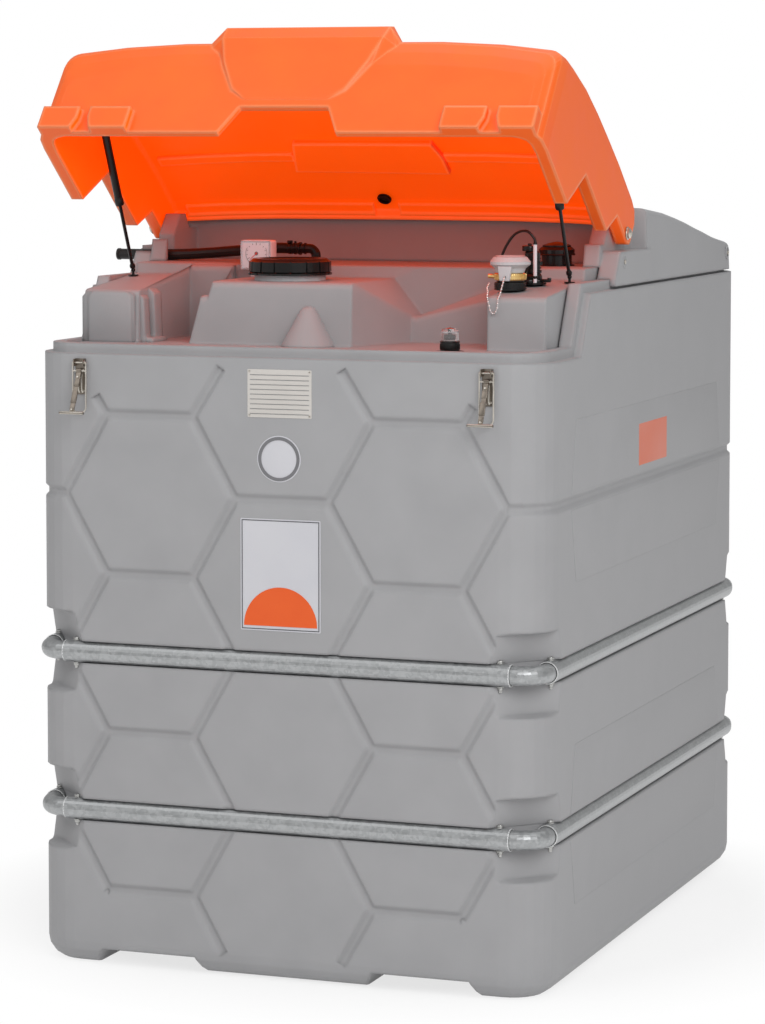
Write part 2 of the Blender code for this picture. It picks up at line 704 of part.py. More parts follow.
def cover_shape(offset, low):
    """Shape of the rear cover with round rear corners, moved inward by offset."""
    start = COVER_FRONT if offset == 0 else COVER_SIDE_FRONT + offset
    end = COVER_REAR - offset
    corner = COVER_CORNER - offset
    half_width = COVER_HALF_WIDTH - offset
    places = [(start, 0.0, EDGE_SOFT), (start + EDGE_SOFT, 0.0, 0.0)]
    for share, _ in COVER_PROFILE:
        place = COVER_FRONT + (COVER_REAR - COVER_FRONT) * share
        if start + 2 * EDGE_SOFT < place < end - corner - EDGE_SOFT:
            places.append((place, 0.0, 0.0))
    for step in range(7):
        angle = math.radians(15 * step)
        taper = EDGE_SOFT * 0.7 if step == 6 else 0.0
        places.append((end - corner * (1 - math.sin(angle)), corner * (1 - math.cos(angle)), taper))
    sections = []
    for place, narrow, taper in places:
        share = (place - COVER_FRONT) / (COVER_REAR - COVER_FRONT)
        side_top = COVER_SIDE_TOP - along_profile(COVER_PROFILE, share) - taper - offset * 0.5
        sections.append(cover_half_section(from_front(place), side_top, half_width - narrow, low))
    return loft(sections)


def rear_cover():
    """Grey cover over the rear half, with cheeks that carry the hood."""
    low = COVER_EDGE_Z - 0.040
    deep = low - 0.046
    cover = make_object("rear_cover", cover_shape(0.0, low), "grey_plastic")
    slots = []
    for side in (-1, 1):
        span = sorted((side * (CHEEK_OUTER_X + 0.001), side * WIDTH))
        slots.append(box("arm_slot_%d" % (side + 1), (span[0], from_front(CHEEK_FRONT), deep),
                         (span[1], from_front(COVER_SIDE_FRONT), ABOVE_ALL)))
    cut_group(cover, slots, "arm_slots")
    cheeks = []
    for side in (-1, 1):
        back = from_front(COVER_SIDE_FRONT + 0.03)
        outline = [(from_front(CHEEK_FRONT), low), (from_front(CHEEK_FRONT), SHOULDER_Z + 0.020),
                   (from_front(CHEEK_FRONT + 0.038), SHOULDER_TOP - 0.004),
                   (from_front(CHEEK_FRONT + 0.046), SHOULDER_TOP), (back, SHOULDER_TOP), (back, low)]
        span = sorted((side * (CHEEK_OUTER_X - 0.010), side * (COVER_HALF_WIDTH - 0.0008)))
        cheeks.append(prism("shoulder_former_%d" % (side + 1), outline, "X", *span))
        back = from_front(COVER_FRONT + 0.05)
        top = [(from_front(CHEEK_FRONT + 0.010), low), (from_front(CHEEK_FRONT + 0.010), SHOULDER_Z + 0.020),
               (from_front(CHEEK_FRONT + 0.030), CHEEK_TOP), (from_front(HINGE_Y - 0.057), CHEEK_TOP),
               (from_front(HINGE_Y - 0.010), HINGE_Z + 0.034), (from_front(HINGE_Y + 0.018), HINGE_Z + 0.034),
               (from_front(HINGE_Y + 0.040), HINGE_Z), (back, HINGE_Z), (back, low)]
        span = sorted((side * CHEEK_INNER_X, side * CHEEK_OUTER_X))
        cheeks.append(prism("cheek_former_%d" % (side + 1), top, "X", *span))
    cut_group(cover, cheeks, "cheeks", "UNION")
    cut(cover, box("cover_edge_cutter", (-WIDTH, -DEPTH, deep), (WIDTH, DEPTH, COVER_EDGE_Z)))
    cut(cover, make_object("cover_hollow", cover_shape(COVER_WALL, low - 0.02)))
    cut(cover, plan_prism("cover_lip_room", LIP_INSET - SEAT_GAP, deep, SHOULDER_Z + LIP_RISE + SEAT_GAP))
    cut(cover, plan_prism("cover_tank_room", LIP_INSET + LIP_THICKNESS - 0.001, deep, SHELF_Z + SEAT_GAP))
    for side in (-1, 1):
        span = side * (CHEEK_OUTER_X - PIN_DEPTH), side * (CHEEK_OUTER_X + 0.01)
        hole = rod_between("cover_pin_hole_%d" % (side + 1), (span[0], from_front(HINGE_Y), HINGE_Z),
                           (span[1], from_front(HINGE_Y), HINGE_Z), PIN_RADIUS + SEAT_GAP, steps=16)
        cut(cover, hole)
    room = HOSE_RADIUS + 0.0055
    hose_slot = box("hose_slot", (-WIDTH, from_front(HOSE_Y) - room, HOSE_Z - room),
                    (-CHEEK_INNER_X + 0.02, from_front(HOSE_Y) + room, CHEEK_TOP + 0.010))
    cut(cover, hose_slot)
    return cover


def hood_section(y, ridge, side_top, half_width, low, radius):
    """Inverted-U outline of the hood at one station."""
    crown = ridge - side_top
    points = [(half_width, y, low)]
    points += [(x, y, z) for x, z in arc((half_width - radius, side_top - radius), radius, 0, 80, 5)]
    points.append((half_width * 0.76, y, ridge - crown * 0.40))
    points.append((half_width * 0.52, y, ridge - crown * 0.05))
    points.append((0.0, y, ridge))
    mirrored = [(-x, py, z) for x, py, z in reversed(points[:-1])]
    return points + mirrored


def hood_shape(offset, front_offset, low):
    """Closed hood shape, moved inward by offset, the front by its own."""
    start = HOOD_FRONT + front_offset
    length = HOOD_REAR - start + (0.002 if offset else 0.0)
    sections = []
    for share, ridge, side_top, pull, radius in HOOD_STATIONS:
        half = HOOD_HALF_WIDTH - offset - pull
        sections.append(hood_section(from_front(start + length * share), HOOD_RIDGE + ridge - offset,
                                     HOOD_RIDGE + side_top - offset, half, low, radius - offset * 0.4))
    return loft(sections)


def hood_ceiling(distance):
    """Height of the hood's inner face along its middle."""
    start = HOOD_FRONT + HOOD_FRONT_WALL
    share = (distance - start) / (HOOD_REAR - start + 0.002)
    return HOOD_RIDGE + along_profile([(row[0], row[1]) for row in HOOD_STATIONS], share) - HOOD_WALL


def hood_lower_edge():
    """Side view (y, z) of the zigzag edge, from the front to the hinge arm."""
    slant = (HOOD_EDGE_REAR_Z - HOOD_EDGE_Z) * SLANT_RUN / (SHOULDER_Z - LEDGE_Z)
    foot = SLANT_FOOT - LIP_SHIFT - 0.002
    arm = CHEEK_FRONT - 0.012
    end = 0.018
    line = [(from_front(-BEYOND), HOOD_EDGE_Z), (from_front(foot), HOOD_EDGE_Z),
            (from_front(foot + slant), HOOD_EDGE_REAR_Z), (from_front(arm), HOOD_EDGE_REAR_Z),
            (from_front(arm + 0.046), HOOD_ARM_Z)]
    line += arc((from_front(HOOD_REAR - end), HOOD_ARM_Z + end), end, -90, 0, 5)
    line.append((from_front(HOOD_REAR + BEYOND), HOOD_ARM_Z + end))
    return line


def hood_panel(parent):
    """Raised panel that starts flush on the front and climbs over the ridge."""
    sections = []
    for distance, height, rise, low_half, high_half in PANEL_STATIONS:
        way = Vector(rise).normalized() * PANEL_DEPTH
        under = (from_front(distance - way.x), HOOD_RIDGE + height - way.y)
        over = (from_front(distance + rise[0]), HOOD_RIDGE + height + rise[1])
        sections.append([(PANEL_X - low_half, *under), (PANEL_X - high_half, *over),
                         (PANEL_X + high_half, *over), (PANEL_X + low_half, *under)])
    return make_object("panel_former", loft(sections), None, parent)


def latch_blocks(parent):
    """Pairs of raised blocks on the hood's lower edge, with a slot for each hook."""
    top, knee, slot, foot = HOOD_EDGE_Z + BLOCK_RISE, HOOD_EDGE_Z + 0.030, 0.0125, 0.0225
    outer, inner = HOOD_HALF_WIDTH - 0.012, LATCH_X - 0.108
    blocks = []
    for side in (-1, 1):
        for word, edge, way in (("outer", outer, 1), ("inner", inner, -1)):
            near, splay = LATCH_X + way * slot, LATCH_X + way * foot
            outline = [(side * edge, HOOD_LOW), (side * splay, HOOD_LOW), (side * splay, HOOD_EDGE_Z),
                       (side * near, knee), (side * near, top), (side * edge, top)]
            blocks.append(prism("latch_block_%s_%d" % (word, side + 1), outline, "Y",
                                from_front(HOOD_FRONT - BLOCK_PROUD), from_front(HOOD_FRONT + 0.050), None, parent))
    return blocks


def hood():
    """Orange hood, drawn closed and swung open about its hinge pins."""
    pivot = bpy.data.objects.new("hood_pivot", None)
    bpy.context.scene.collection.objects.link(pivot)
    pivot.location = (0, from_front(HINGE_Y), HINGE_Z)
    bpy.context.view_layer.update()
    shell = make_object("lid", hood_shape(0.0, 0.0, HOOD_LOW), "orange_plastic", pivot)
    cut_group(shell, latch_blocks(pivot), "latch_blocks", "UNION")
    cut(shell, hood_panel(pivot), "UNION")
    deep = HOOD_LOW - 0.020
    cut(shell, make_object("hood_hollow", hood_shape(HOOD_WALL, HOOD_FRONT_WALL, deep), None, pivot))
    edge = hood_lower_edge() + [(from_front(HOOD_REAR + BEYOND), deep - 0.08), (from_front(-BEYOND), deep - 0.08)]
    cut(shell, prism("hood_edge_cutter", edge, "X", -WIDTH, WIDTH, None, pivot))
    notch = [(PANEL_X + x, z) for x, z in ((-NOTCH_HALF, HOOD_LOW), (NOTCH_HALF, HOOD_LOW), (NOTCH_HALF, HOOD_EDGE_Z),
                                           (NOTCH_TOP_HALF, NOTCH_TOP), (-NOTCH_TOP_HALF, NOTCH_TOP),
                                           (-NOTCH_HALF, HOOD_EDGE_Z))]
    cut(shell, prism("hand_notch", notch, "Y", from_front(-0.1), from_front(0.1), None, pivot))
    for side in (-1, 1):
        hole = rod_between("hood_pin_hole_%d" % (side + 1), (side * (CHEEK_OUTER_X - 0.01), from_front(HINGE_Y), HINGE_Z),
                           (side * (HOOD_HALF_WIDTH + 0.02), from_front(HINGE_Y), HINGE_Z),
                           PIN_RADIUS + PIN_CLEARANCE, None, 16, pivot)
        cut(shell, hole)
    for side, word in ((-1, "left"), (1, "right")):
        closed = closed_point(STRUT_HEAD)
        rod_between("strut_%s_stud" % word, (side * (STRUT_X + STRUT_TUBE_RADIUS + 0.006), closed[0], closed[1]),
                    (side * (HOOD_HALF_WIDTH - HOOD_WALL - SEAT_GAP), closed[0], closed[1]),
                    STUD_RADIUS, "latch_steel", 12, pivot)
    plug = [(0, 0), (PLUG_RADIUS, 0), (PLUG_RADIUS, PLUG_HEIGHT / 2), (PLUG_RADIUS * 0.7, PLUG_HEIGHT), (0, PLUG_HEIGHT)]
    plug_z = hood_ceiling(PLUG_Y) - PLUG_HEIGHT - 2 * SEAT_GAP
    turned("lid_plug", plug, (PLUG_X, from_front(PLUG_Y), plug_z), "black_plastic", 20, "Z", pivot)
    pivot.rotation_euler = (-OPEN_ANGLE, 0, 0)


def closed_point(point):
    """Where a point of the open hood lies when the hood is closed, as (y, z)."""
    dy, dz = point[0] - HINGE_Y, point[1] - HINGE_Z
    cos, sin = math.cos(OPEN_ANGLE), math.sin(OPEN_ANGLE)
    return (from_front(HINGE_Y + cos * dy - sin * dz), HINGE_Z + sin * dy + cos * dz)


def hinge_pins():
    """A headed pin on each side, through the hood's arm into the cheek."""
    for side, word in ((-1, "left"), (1, "right")):
        inner = CHEEK_OUTER_X - PIN_DEPTH + SEAT_GAP
        head = HOOD_HALF_WIDTH + 0.001
        profile = [(0, inner), (PIN_RADIUS, inner), (PIN_RADIUS, head), (PIN_HEAD_RADIUS, head),
                   (PIN_HEAD_RADIUS, head + 0.006), (PIN_HEAD_RADIUS * 0.6, head + 0.009), (0, head + 0.009)]
        pin = turned("hinge_pin_%s" % word, profile, (0, 0, 0), "latch_steel", 16, "X")
        pin.location = (0, from_front(HINGE_Y), HINGE_Z)
        pin.rotation_euler = (0, 0, math.pi if side < 0 else 0)


def gas_struts():
    """Rod with its eye on the tank, cylinder with its eye towards the hood."""
    foot = Vector((0, from_front(STRUT_FOOT[0]), STRUT_FOOT[1]))
    head = Vector((0, from_front(STRUT_HEAD[0]), STRUT_HEAD[1]))
    way = (head - foot).normalized()
    length = (head - foot).length
    start = length - STRUT_TUBE_LENGTH
    near = BALL_RADIUS + PIN_CLEARANCE
    bore = STRUT_ROD_RADIUS + 0.0005
    tip = start + STRUT_OVERLAP
    rod_profile = [(0, near), (0.005, near), (0.005, near + 0.008), (STRUT_ROD_RADIUS, near + 0.011),
                   (STRUT_ROD_RADIUS, tip), (0, tip)]
    tube_profile = [(bore, start), (0.007, start), (STRUT_TUBE_RADIUS, start + 0.006),
                    (STRUT_TUBE_RADIUS, length - 0.012), (0.006, length - 0.004), (0.006, length + 0.006),
                    (0, length + 0.006), (0, length - 0.020), (bore, length - 0.020)]
    base_z = block_top(STRUT_FOOT[0] + FOOT_RADIUS) + SEAT_GAP
    foot_profile = [(0, base_z), (FOOT_RADIUS, base_z), (FOOT_RADIUS, base_z + 0.002), (0.003, base_z + 0.002)]
    foot_profile += [(r, STRUT_FOOT[1] + h) for r, h in arc((0, 0), BALL_RADIUS, -53, 90, 6)]
    for side, word in ((-1, "left"), (1, "right")):
        root = foot + Vector((side * STRUT_X, 0, 0))
        turn = Matrix.Translation(root) @ way.to_track_quat("Z", "Y").to_matrix().to_4x4()
        rod = turned("strut_%s_rod" % word, rod_profile, (0, 0, 0), "latch_steel", 12)
        rod.matrix_world = turn
        tube = turned("strut_%s_cylinder" % word, tube_profile, (0, 0, 0), "black_plastic", 16, bore=True)
        tube.matrix_world = turn
        turned("strut_%s_foot" % word, foot_profile, (root.x, root.y, 0), "latch_steel", 16)


def tube_rings():
    """Two rings of straight tubes joined by bends at the corners."""
    line_x = WIDTH / 2 - TUBE_SETBACK
    line_y = DEPTH / 2 - TUBE_SETBACK
    bore = TUBE_RADIUS - TUBE_WALL
    for word, z in TUBE_LEVELS.items():
        for name, along, reach, place in (("front", "X", TUBE_END_X, (0, -line_y, z)),
                                          ("rear", "X", TUBE_END_X, (0, line_y, z)),
                                          ("left", "Y", TUBE_END_Y, (-line_x, 0, z)),
                                          ("right", "Y", TUBE_END_Y, (line_x, 0, z))):
            profile = [(bore, -reach), (TUBE_RADIUS, -reach), (TUBE_RADIUS, reach), (bore, reach)]
            turned("rail_%s_%s" % (word, name), profile, place, "galvanised_steel", RAIL_SIDES, along, bore=True)
        for sx, sy, name in ((-1, -1, "front_left"), (1, -1, "front_right"), (-1, 1, "rear_left"), (1, 1, "rear_right")):
            corner_bend("bend_%s_%s" % (word, name), sx, sy, line_x, line_y, z)


def corner_bend(name, sx, sy, line_x, line_y, z):
    """A quarter bend whose ends slide into the two straight tubes."""
    centre = (line_x - BEND_RADIUS, line_y - BEND_RADIUS)
    path = [(TUBE_END_X - TUBE_INSERT, line_y)]
    path += arc(centre, BEND_RADIUS, 90, 0, 8)
    path.append((line_x, TUBE_END_Y - TUBE_INSERT))
    radius = TUBE_RADIUS - TUBE_WALL - SEAT_GAP
    sections = []
    for i, (x, y) in enumerate(path):
        ahead = Vector(path[min(i + 1, len(path) - 1)])
        behind = Vector(path[max(i - 1, 0)])
        way = (ahead - behind).normalized()
        side = Vector((-way.y, way.x))
        ring = []
        for step in range(RAIL_SIDES):
            angle = 2 * math.pi * step / RAIL_SIDES
            out = radius * math.cos(angle)
            ring.append((sx * (x + side.x * out), sy * (y + side.y * out), z + radius * math.sin(angle)))
        sections.append(ring)
    make_object(name, loft(sections), "galvanised_steel")


def latch(side, word):
    """Toggle latch: base on the front wall, wire lever, hook with T-bar."""
    x = side * LATCH_X
    face = FRONT - SEAT_GAP
    width, height, thick = LATCH_PLATE
    axis_y = FRONT - LATCH_STANDOFF
    bore = LATCH_WIRE_RADIUS + LATCH_BORE_GAP
    base = box("latch_%s_base" % word, (x - width / 2, face - thick, LATCH_TOP - height),
               (x + width / 2, face, LATCH_TOP), "latch_steel")
    ears = []
    for ear_side in (-1, 1):
        low = sorted((ear_side * (width / 2 - LATCH_EAR), ear_side * width / 2))
        ears.append(box("latch_%s_ear_%d" % (word, ear_side + 1),
                        (x + low[0], axis_y - LATCH_EAR_REACH, LATCH_PIVOT_Z - 0.008),
                        (x + low[1], face - thick / 2, LATCH_TOP)))
    cut_group(base, ears, "latch_%s_ears" % word, "UNION")
    reach = LATCH_BORE_REACH
    cut(base, rod_between("latch_%s_bore" % word, (x - reach, axis_y, LATCH_PIVOT_Z),
                          (x + reach, axis_y, LATCH_PIVOT_Z), bore))
    foot_z = LATCH_PIVOT_Z - LATCH_LEVER_LENGTH
    half = LATCH_HALF_WIDTH
    loop = [(-half, LATCH_PIVOT_Z)] + list(arc((0, foot_z), half, 180, 360, 8)) + [(half, LATCH_PIVOT_Z)]
    path = [(x + px, axis_y, pz) for px, pz in loop]
    ring = arc((0, 0), LATCH_WIRE_RADIUS, 0, 315, 7)
    lever = make_object("latch_%s_lever" % word, sweep(path, [(0, -1, 0)] * len(path), ring), "latch_steel")
    bars = []
    span = half + 0.0005
    for name, z in (("pivot", LATCH_PIVOT_Z - 0.0002), ("cross", LATCH_PIVOT_Z - HOOK_DROP)):
        bars.append(rod_between("latch_%s_%s_bar" % (word, name), (x - span, axis_y, z), (x + span, axis_y, z),
                                LATCH_WIRE_RADIUS * 0.97))
    cut_group(lever, bars, "latch_%s_bars" % word, "UNION")
    latch_hook(x, axis_y, word)


def latch_hook(x, axis_y, word):
    """Flat hook with a knuckle at its pin and a round bar across its end."""
    pin_z = LATCH_PIVOT_Z - HOOK_DROP
    end_z = pin_z - HOOK_LENGTH
    wide, thick, reach = HOOK_HALF_WIDTH, HOOK_HALF_THICKNESS, LATCH_BORE_REACH
    pivot = bpy.data.objects.new("hook_pivot_%s" % word, None)
    bpy.context.scene.collection.objects.link(pivot)
    pivot.location = (x, axis_y, pin_z)
    bpy.context.view_layer.update()
    strip = box("latch_%s_hook" % word, (x - wide, axis_y - thick, end_z),
                (x + wide, axis_y + thick, pin_z - KNUCKLE_RADIUS + thick), "latch_steel", pivot)
    extras = [rod_between("hook_%s_knuckle" % word, (x - wide, axis_y, pin_z), (x + wide, axis_y, pin_z),
                          KNUCKLE_RADIUS, None, 16, pivot),
              rod_between("hook_%s_bar" % word, (x - T_BAR_LENGTH / 2, axis_y, end_z),
                          (x + T_BAR_LENGTH / 2, axis_y, end_z), T_BAR_RADIUS, None, 12, pivot)]
    cut_group(strip, extras, "hook_%s_extras" % word, "UNION")
    cut(strip, rod_between("hook_%s_bore" % word, (x - reach, axis_y, pin_z), (x + reach, axis_y, pin_z),
                           LATCH_WIRE_RADIUS + LATCH_BORE_GAP, None, 12, pivot))
    pivot.rotation_euler = (-HOOK_TILT, 0, 0)


def screw_cap():
    """Black ribbed cap on its grey collar over the manhole."""
    place = (CAP_CENTRE[0], from_front(CAP_CENTRE[1]), 0)
    base = MOUND_TOP + SEAT_GAP
    top = base + COLLAR_HEIGHT
    ring = [(MANHOLE_RADIUS, base), (COLLAR_RADIUS, base), (COLLAR_RADIUS, top), (MANHOLE_RADIUS, top)]
    turned("cap_collar", ring, place, "pale_grey_plastic", 40, bore=True)
    low = top + SEAT_GAP
    crest = low + CAP_HEIGHT
    skirt = CAP_RADIUS + 0.003
    profile = [(0, low), (skirt, low), (skirt, low + 0.004), (CAP_RADIUS, low + 0.008), (CAP_RADIUS, crest - 0.006),
               (CAP_RADIUS - 0.006, crest), (CAP_RADIUS - 0.020, crest), (CAP_RADIUS - 0.024, crest - 0.006),
               (0, crest - 0.006)]
    turned("screw_cap", profile, place, "black_plastic", 48)


def gauge():
    """Square level gauge on a short stem."""
    x, y = GAUGE_CENTRE[0], from_front(GAUGE_CENTRE[1])
    z = MOUND_TOP + GAUGE_RISE
    half, deep, tall = GAUGE_SIZE / 2, GAUGE_DEPTH / 2, GAUGE_SIZE * 0.45
    body = box("level_gauge", (x - half, y - deep, z - tall), (x + half, y + deep, z + tall), "white_plastic")
    stem = box("gauge_stem", (x - half / 3, y - deep + 0.001, MOUND_TOP + SEAT_GAP), (x + half / 3, y + deep - 0.001, z))
    cut(body, stem, "UNION")


def suction_hose():
    """Black hose from its bend on the shelf out through the left cheek."""
    far, near = from_front(HOSE_Y), from_front(HOSE_Y - 0.015)
    crest = HOSE_Z + HOSE_RISE
    start = HOSE_BEND_X - 0.045
    route = [(HOSE_END_X, far, HOSE_Z), (-CHEEK_OUTER_X - 0.017, far, HOSE_Z), (-CHEEK_INNER_X + 0.045, far, HOSE_Z + 0.002),
             (start - 0.160, from_front(HOSE_Y - 0.008), HOSE_Z + 0.011), (start - 0.065, near, crest),
             (start - 0.020, near, crest), (start, near, crest)]
    tube_along("suction_hose", smooth_route(route, 4), HOSE_RADIUS, "black_rubber", 12)
    turn = 0.016
    path = [(start + SEAT_GAP, crest), (start + 0.025, crest)]
    path += arc((HOSE_BEND_X - 0.018, crest - turn), turn, 90, 0, 5)
    path.append((HOSE_BEND_X - 0.002, SHELF_Z + SEAT_GAP))
    points = [(px, near, pz) for px, pz in path]
    make_object("hose_bend", sweep(points, [(0, -1, 0)] * len(points), arc((0, 0), HOSE_BEND_RADIUS, 0, 330, 11)),
                "black_plastic")


def block_top(distance):
    """Height of the right block's top at a distance behind the front."""
    start = BLOCK_FRONT + STEP_RUN + EDGE_SOFT
    share = (distance - start) / (SHELF_FRONT - start)
    return BLOCK_TOP_FRONT + (BLOCK_TOP_REAR - BLOCK_TOP_FRONT) * share


def fill_fittings():
    """Fill neck, brass ring and dust cap, with the limit sensor beside them."""
    place = (FILL_CENTRE[0], from_front(FILL_CENTRE[1]), 0)
    base = block_top(FILL_CENTRE[1] + FILL_RADIUS) + SEAT_GAP
    seat = base + 0.020
    throat = FILL_RADIUS - 0.005
    neck = [(0, base), (FILL_RADIUS, base), (FILL_RADIUS, seat - 0.004), (throat, seat - 0.002), (throat, seat), (0, seat)]
    turned("fill_neck", neck, place, "black_plastic", 24)
    low = seat + SEAT_GAP
    high = low + 0.016
    ring = [(0, low), (FILL_RADIUS - 0.002, low), (FILL_RADIUS, low + 0.003), (FILL_RADIUS, high - 0.002),
            (FILL_RADIUS - 0.002, high), (0, high)]
    turned("fill_ring", ring, place, "brass", 24)
    foot = high + SEAT_GAP
    brim = FILL_RADIUS + 0.010
    dome = [(0, foot), (FILL_RADIUS - 0.004, foot), (FILL_RADIUS, foot + 0.010), (brim, foot + 0.018),
            (brim, foot + 0.024), (brim - 0.008, foot + 0.034), (0, foot + 0.036)]
    turned("dust_cap", dome, place, "pale_grey_plastic", 28)
    limit_sensor()


def limit_sensor():
    """Black sensor on a flange, with a white rod in front and a lead down."""
    sx, sy = SENSOR_CENTRE[0], from_front(SENSOR_CENTRE[1])
    foot = block_top(SENSOR_CENTRE[1] + SENSOR_FLANGE) + SEAT_GAP
    flange = foot + 0.004
    neck = SENSOR_RADIUS - 0.004
    body = [(0, foot), (SENSOR_FLANGE, foot), (SENSOR_FLANGE, flange), (SENSOR_RADIUS, flange),
            (SENSOR_RADIUS, foot + 0.018), (neck, foot + 0.024), (neck, foot + 0.068), (neck - 0.002, foot + 0.072),
            (0, foot + 0.072)]
    turned("limit_sensor", body, (sx, sy, 0), "black_plastic", 20)
    radius = 0.0042
    stand = SENSOR_RADIUS + radius + SEAT_GAP
    rod_x, rod_y = sx + stand * 0.5, sy - stand * 0.87
    low, high = flange + SEAT_GAP, foot + 0.090
    rod = [(0, low), (radius, low), (radius, high - 0.002), (radius * 0.7, high), (0, high)]
    turned("sensor_rod", rod, (rod_x, rod_y, 0), "white_plastic", 12)
    start = high + SEAT_GAP
    route = [(rod_x, rod_y, start), (rod_x - 0.002, rod_y, start + 0.010), (rod_x - 0.020, rod_y, start + 0.026),
             (rod_x - 0.050, rod_y + 0.010, start + 0.018), (rod_x - 0.075, rod_y + 0.016, start - 0.015),
             (rod_x - 0.088, rod_y + 0.018, start - 0.055), (rod_x - 0.090, rod_y + 0.018, foot)]
    tube_along("sensor_lead", smooth_route(route, 5), 0.003, "black_rubber", 8)


def vent():
    """Mushroom vent on the shelf."""
    base = SHELF_Z + SEAT_GAP
    brim = VENT_RADIUS + 0.006
    profile = [(0, base), (VENT_RADIUS, base), (VENT_RADIUS, base + 0.024), (brim, base + 0.024),
               (brim + 0.001, base + 0.036), (VENT_RADIUS, base + 0.042), (0, base + 0.052)]
    turned("vent", profile, (VENT_CENTRE[0], from_front(VENT_CENTRE[1]), 0), "black_plastic", 28)


def leak_indicator():
    """Black base and clear dome on the front floor."""
    place = (LEAK_CENTRE[0], from_front(LEAK_CENTRE[1]), 0)
    base = INNER_FLOOR_Z + SEAT_GAP
    seat = base + 0.022
    flange = LEAK_RADIUS + 0.0095
    stand = [(0, base), (flange, base), (flange, base + 0.003), (LEAK_RADIUS, base + 0.003), (LEAK_RADIUS, seat), (0, seat)]
    turned("leak_indicator_base", stand, place, "black_plastic", 24)
    low = seat + SEAT_GAP
    glass = LEAK_RADIUS - 0.001
    dome = [(0, low), (glass, low), (glass, low + 0.022), (glass - 0.0025, low + 0.028), (0, low + 0.031)]
    turned("leak_indicator_dome", dome, place, "clear_plastic", 24)


def main():
    """Build the whole tank."""
    clear_scene()
    outer_tank()
    inner_tank()
    rear_cover()
    hood()
    hinge_pins()
    gas_struts()
    tube_rings()
    latch(-1, "left")
    latch(1, "right")
    screw_cap()
    gauge()
    suction_hose()
    fill_fittings()
    vent()
    leak_indicator()


main()
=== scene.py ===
"""Looks of a bunded diesel fuel tank: finishes, small fittings, light and camera.

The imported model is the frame. Every large shape comes from it, and this
script gives those shapes their finish and adds the fittings they carry.
"""
import logging
import math
from dataclasses import dataclass, replace
from enum import Enum
from typing import Callable, Dict, List, Optional, Sequence, Tuple

import bmesh
import bpy
from mathutils import Matrix, Vector
from mathutils.bvhtree import BVHTree
from mathutils.geometry import interpolate_bezier


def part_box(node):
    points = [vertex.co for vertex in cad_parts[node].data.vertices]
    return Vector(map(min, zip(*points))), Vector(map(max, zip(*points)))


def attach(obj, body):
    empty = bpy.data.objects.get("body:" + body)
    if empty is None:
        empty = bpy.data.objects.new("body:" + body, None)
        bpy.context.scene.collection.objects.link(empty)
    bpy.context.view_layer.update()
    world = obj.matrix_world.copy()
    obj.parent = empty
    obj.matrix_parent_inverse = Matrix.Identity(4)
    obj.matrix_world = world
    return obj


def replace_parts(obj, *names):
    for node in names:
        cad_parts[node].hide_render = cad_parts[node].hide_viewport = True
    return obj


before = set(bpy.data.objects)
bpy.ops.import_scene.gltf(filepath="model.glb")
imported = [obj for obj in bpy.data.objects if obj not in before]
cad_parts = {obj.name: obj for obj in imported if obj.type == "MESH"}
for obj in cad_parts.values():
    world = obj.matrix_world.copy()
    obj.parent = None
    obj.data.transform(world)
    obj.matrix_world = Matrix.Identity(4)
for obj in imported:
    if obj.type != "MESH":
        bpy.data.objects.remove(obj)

LOG = logging.getLogger("tank")
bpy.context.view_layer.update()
NODES: Dict[str, bpy.types.Object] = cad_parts

Colour = Tuple[float, float, float]
Point = Sequence[float]
Profile = Sequence[Tuple[float, float]]
Box2 = Tuple[float, float, float, float]
Socket = bpy.types.NodeSocket
BMesh = bmesh.types.BMesh

FRONT_Y = -0.800
SIDE_X = 0.590
HINGE = Vector((0.0, -0.158, 1.600))
OPEN_TURN = Matrix.Rotation(math.radians(-39), 4, "X")
HOOD_OPEN = Matrix.Translation(HINGE) @ OPEN_TURN @ Matrix.Translation(-HINGE)
STILL = Matrix.Identity(4)
ALONG = {"Z": STILL, "X": Matrix.Rotation(math.pi / 2, 4, "Y"), "Y": Matrix.Rotation(math.pi / 2, 4, "X")}
SIDES = ((-1, "left"), (1, "right"))
TANK = "tank"
HOOD = "hood"
FULL_WHITE = (1.0, 1.0, 1.0, 1.0)
NORMAL_SAMPLES = 6


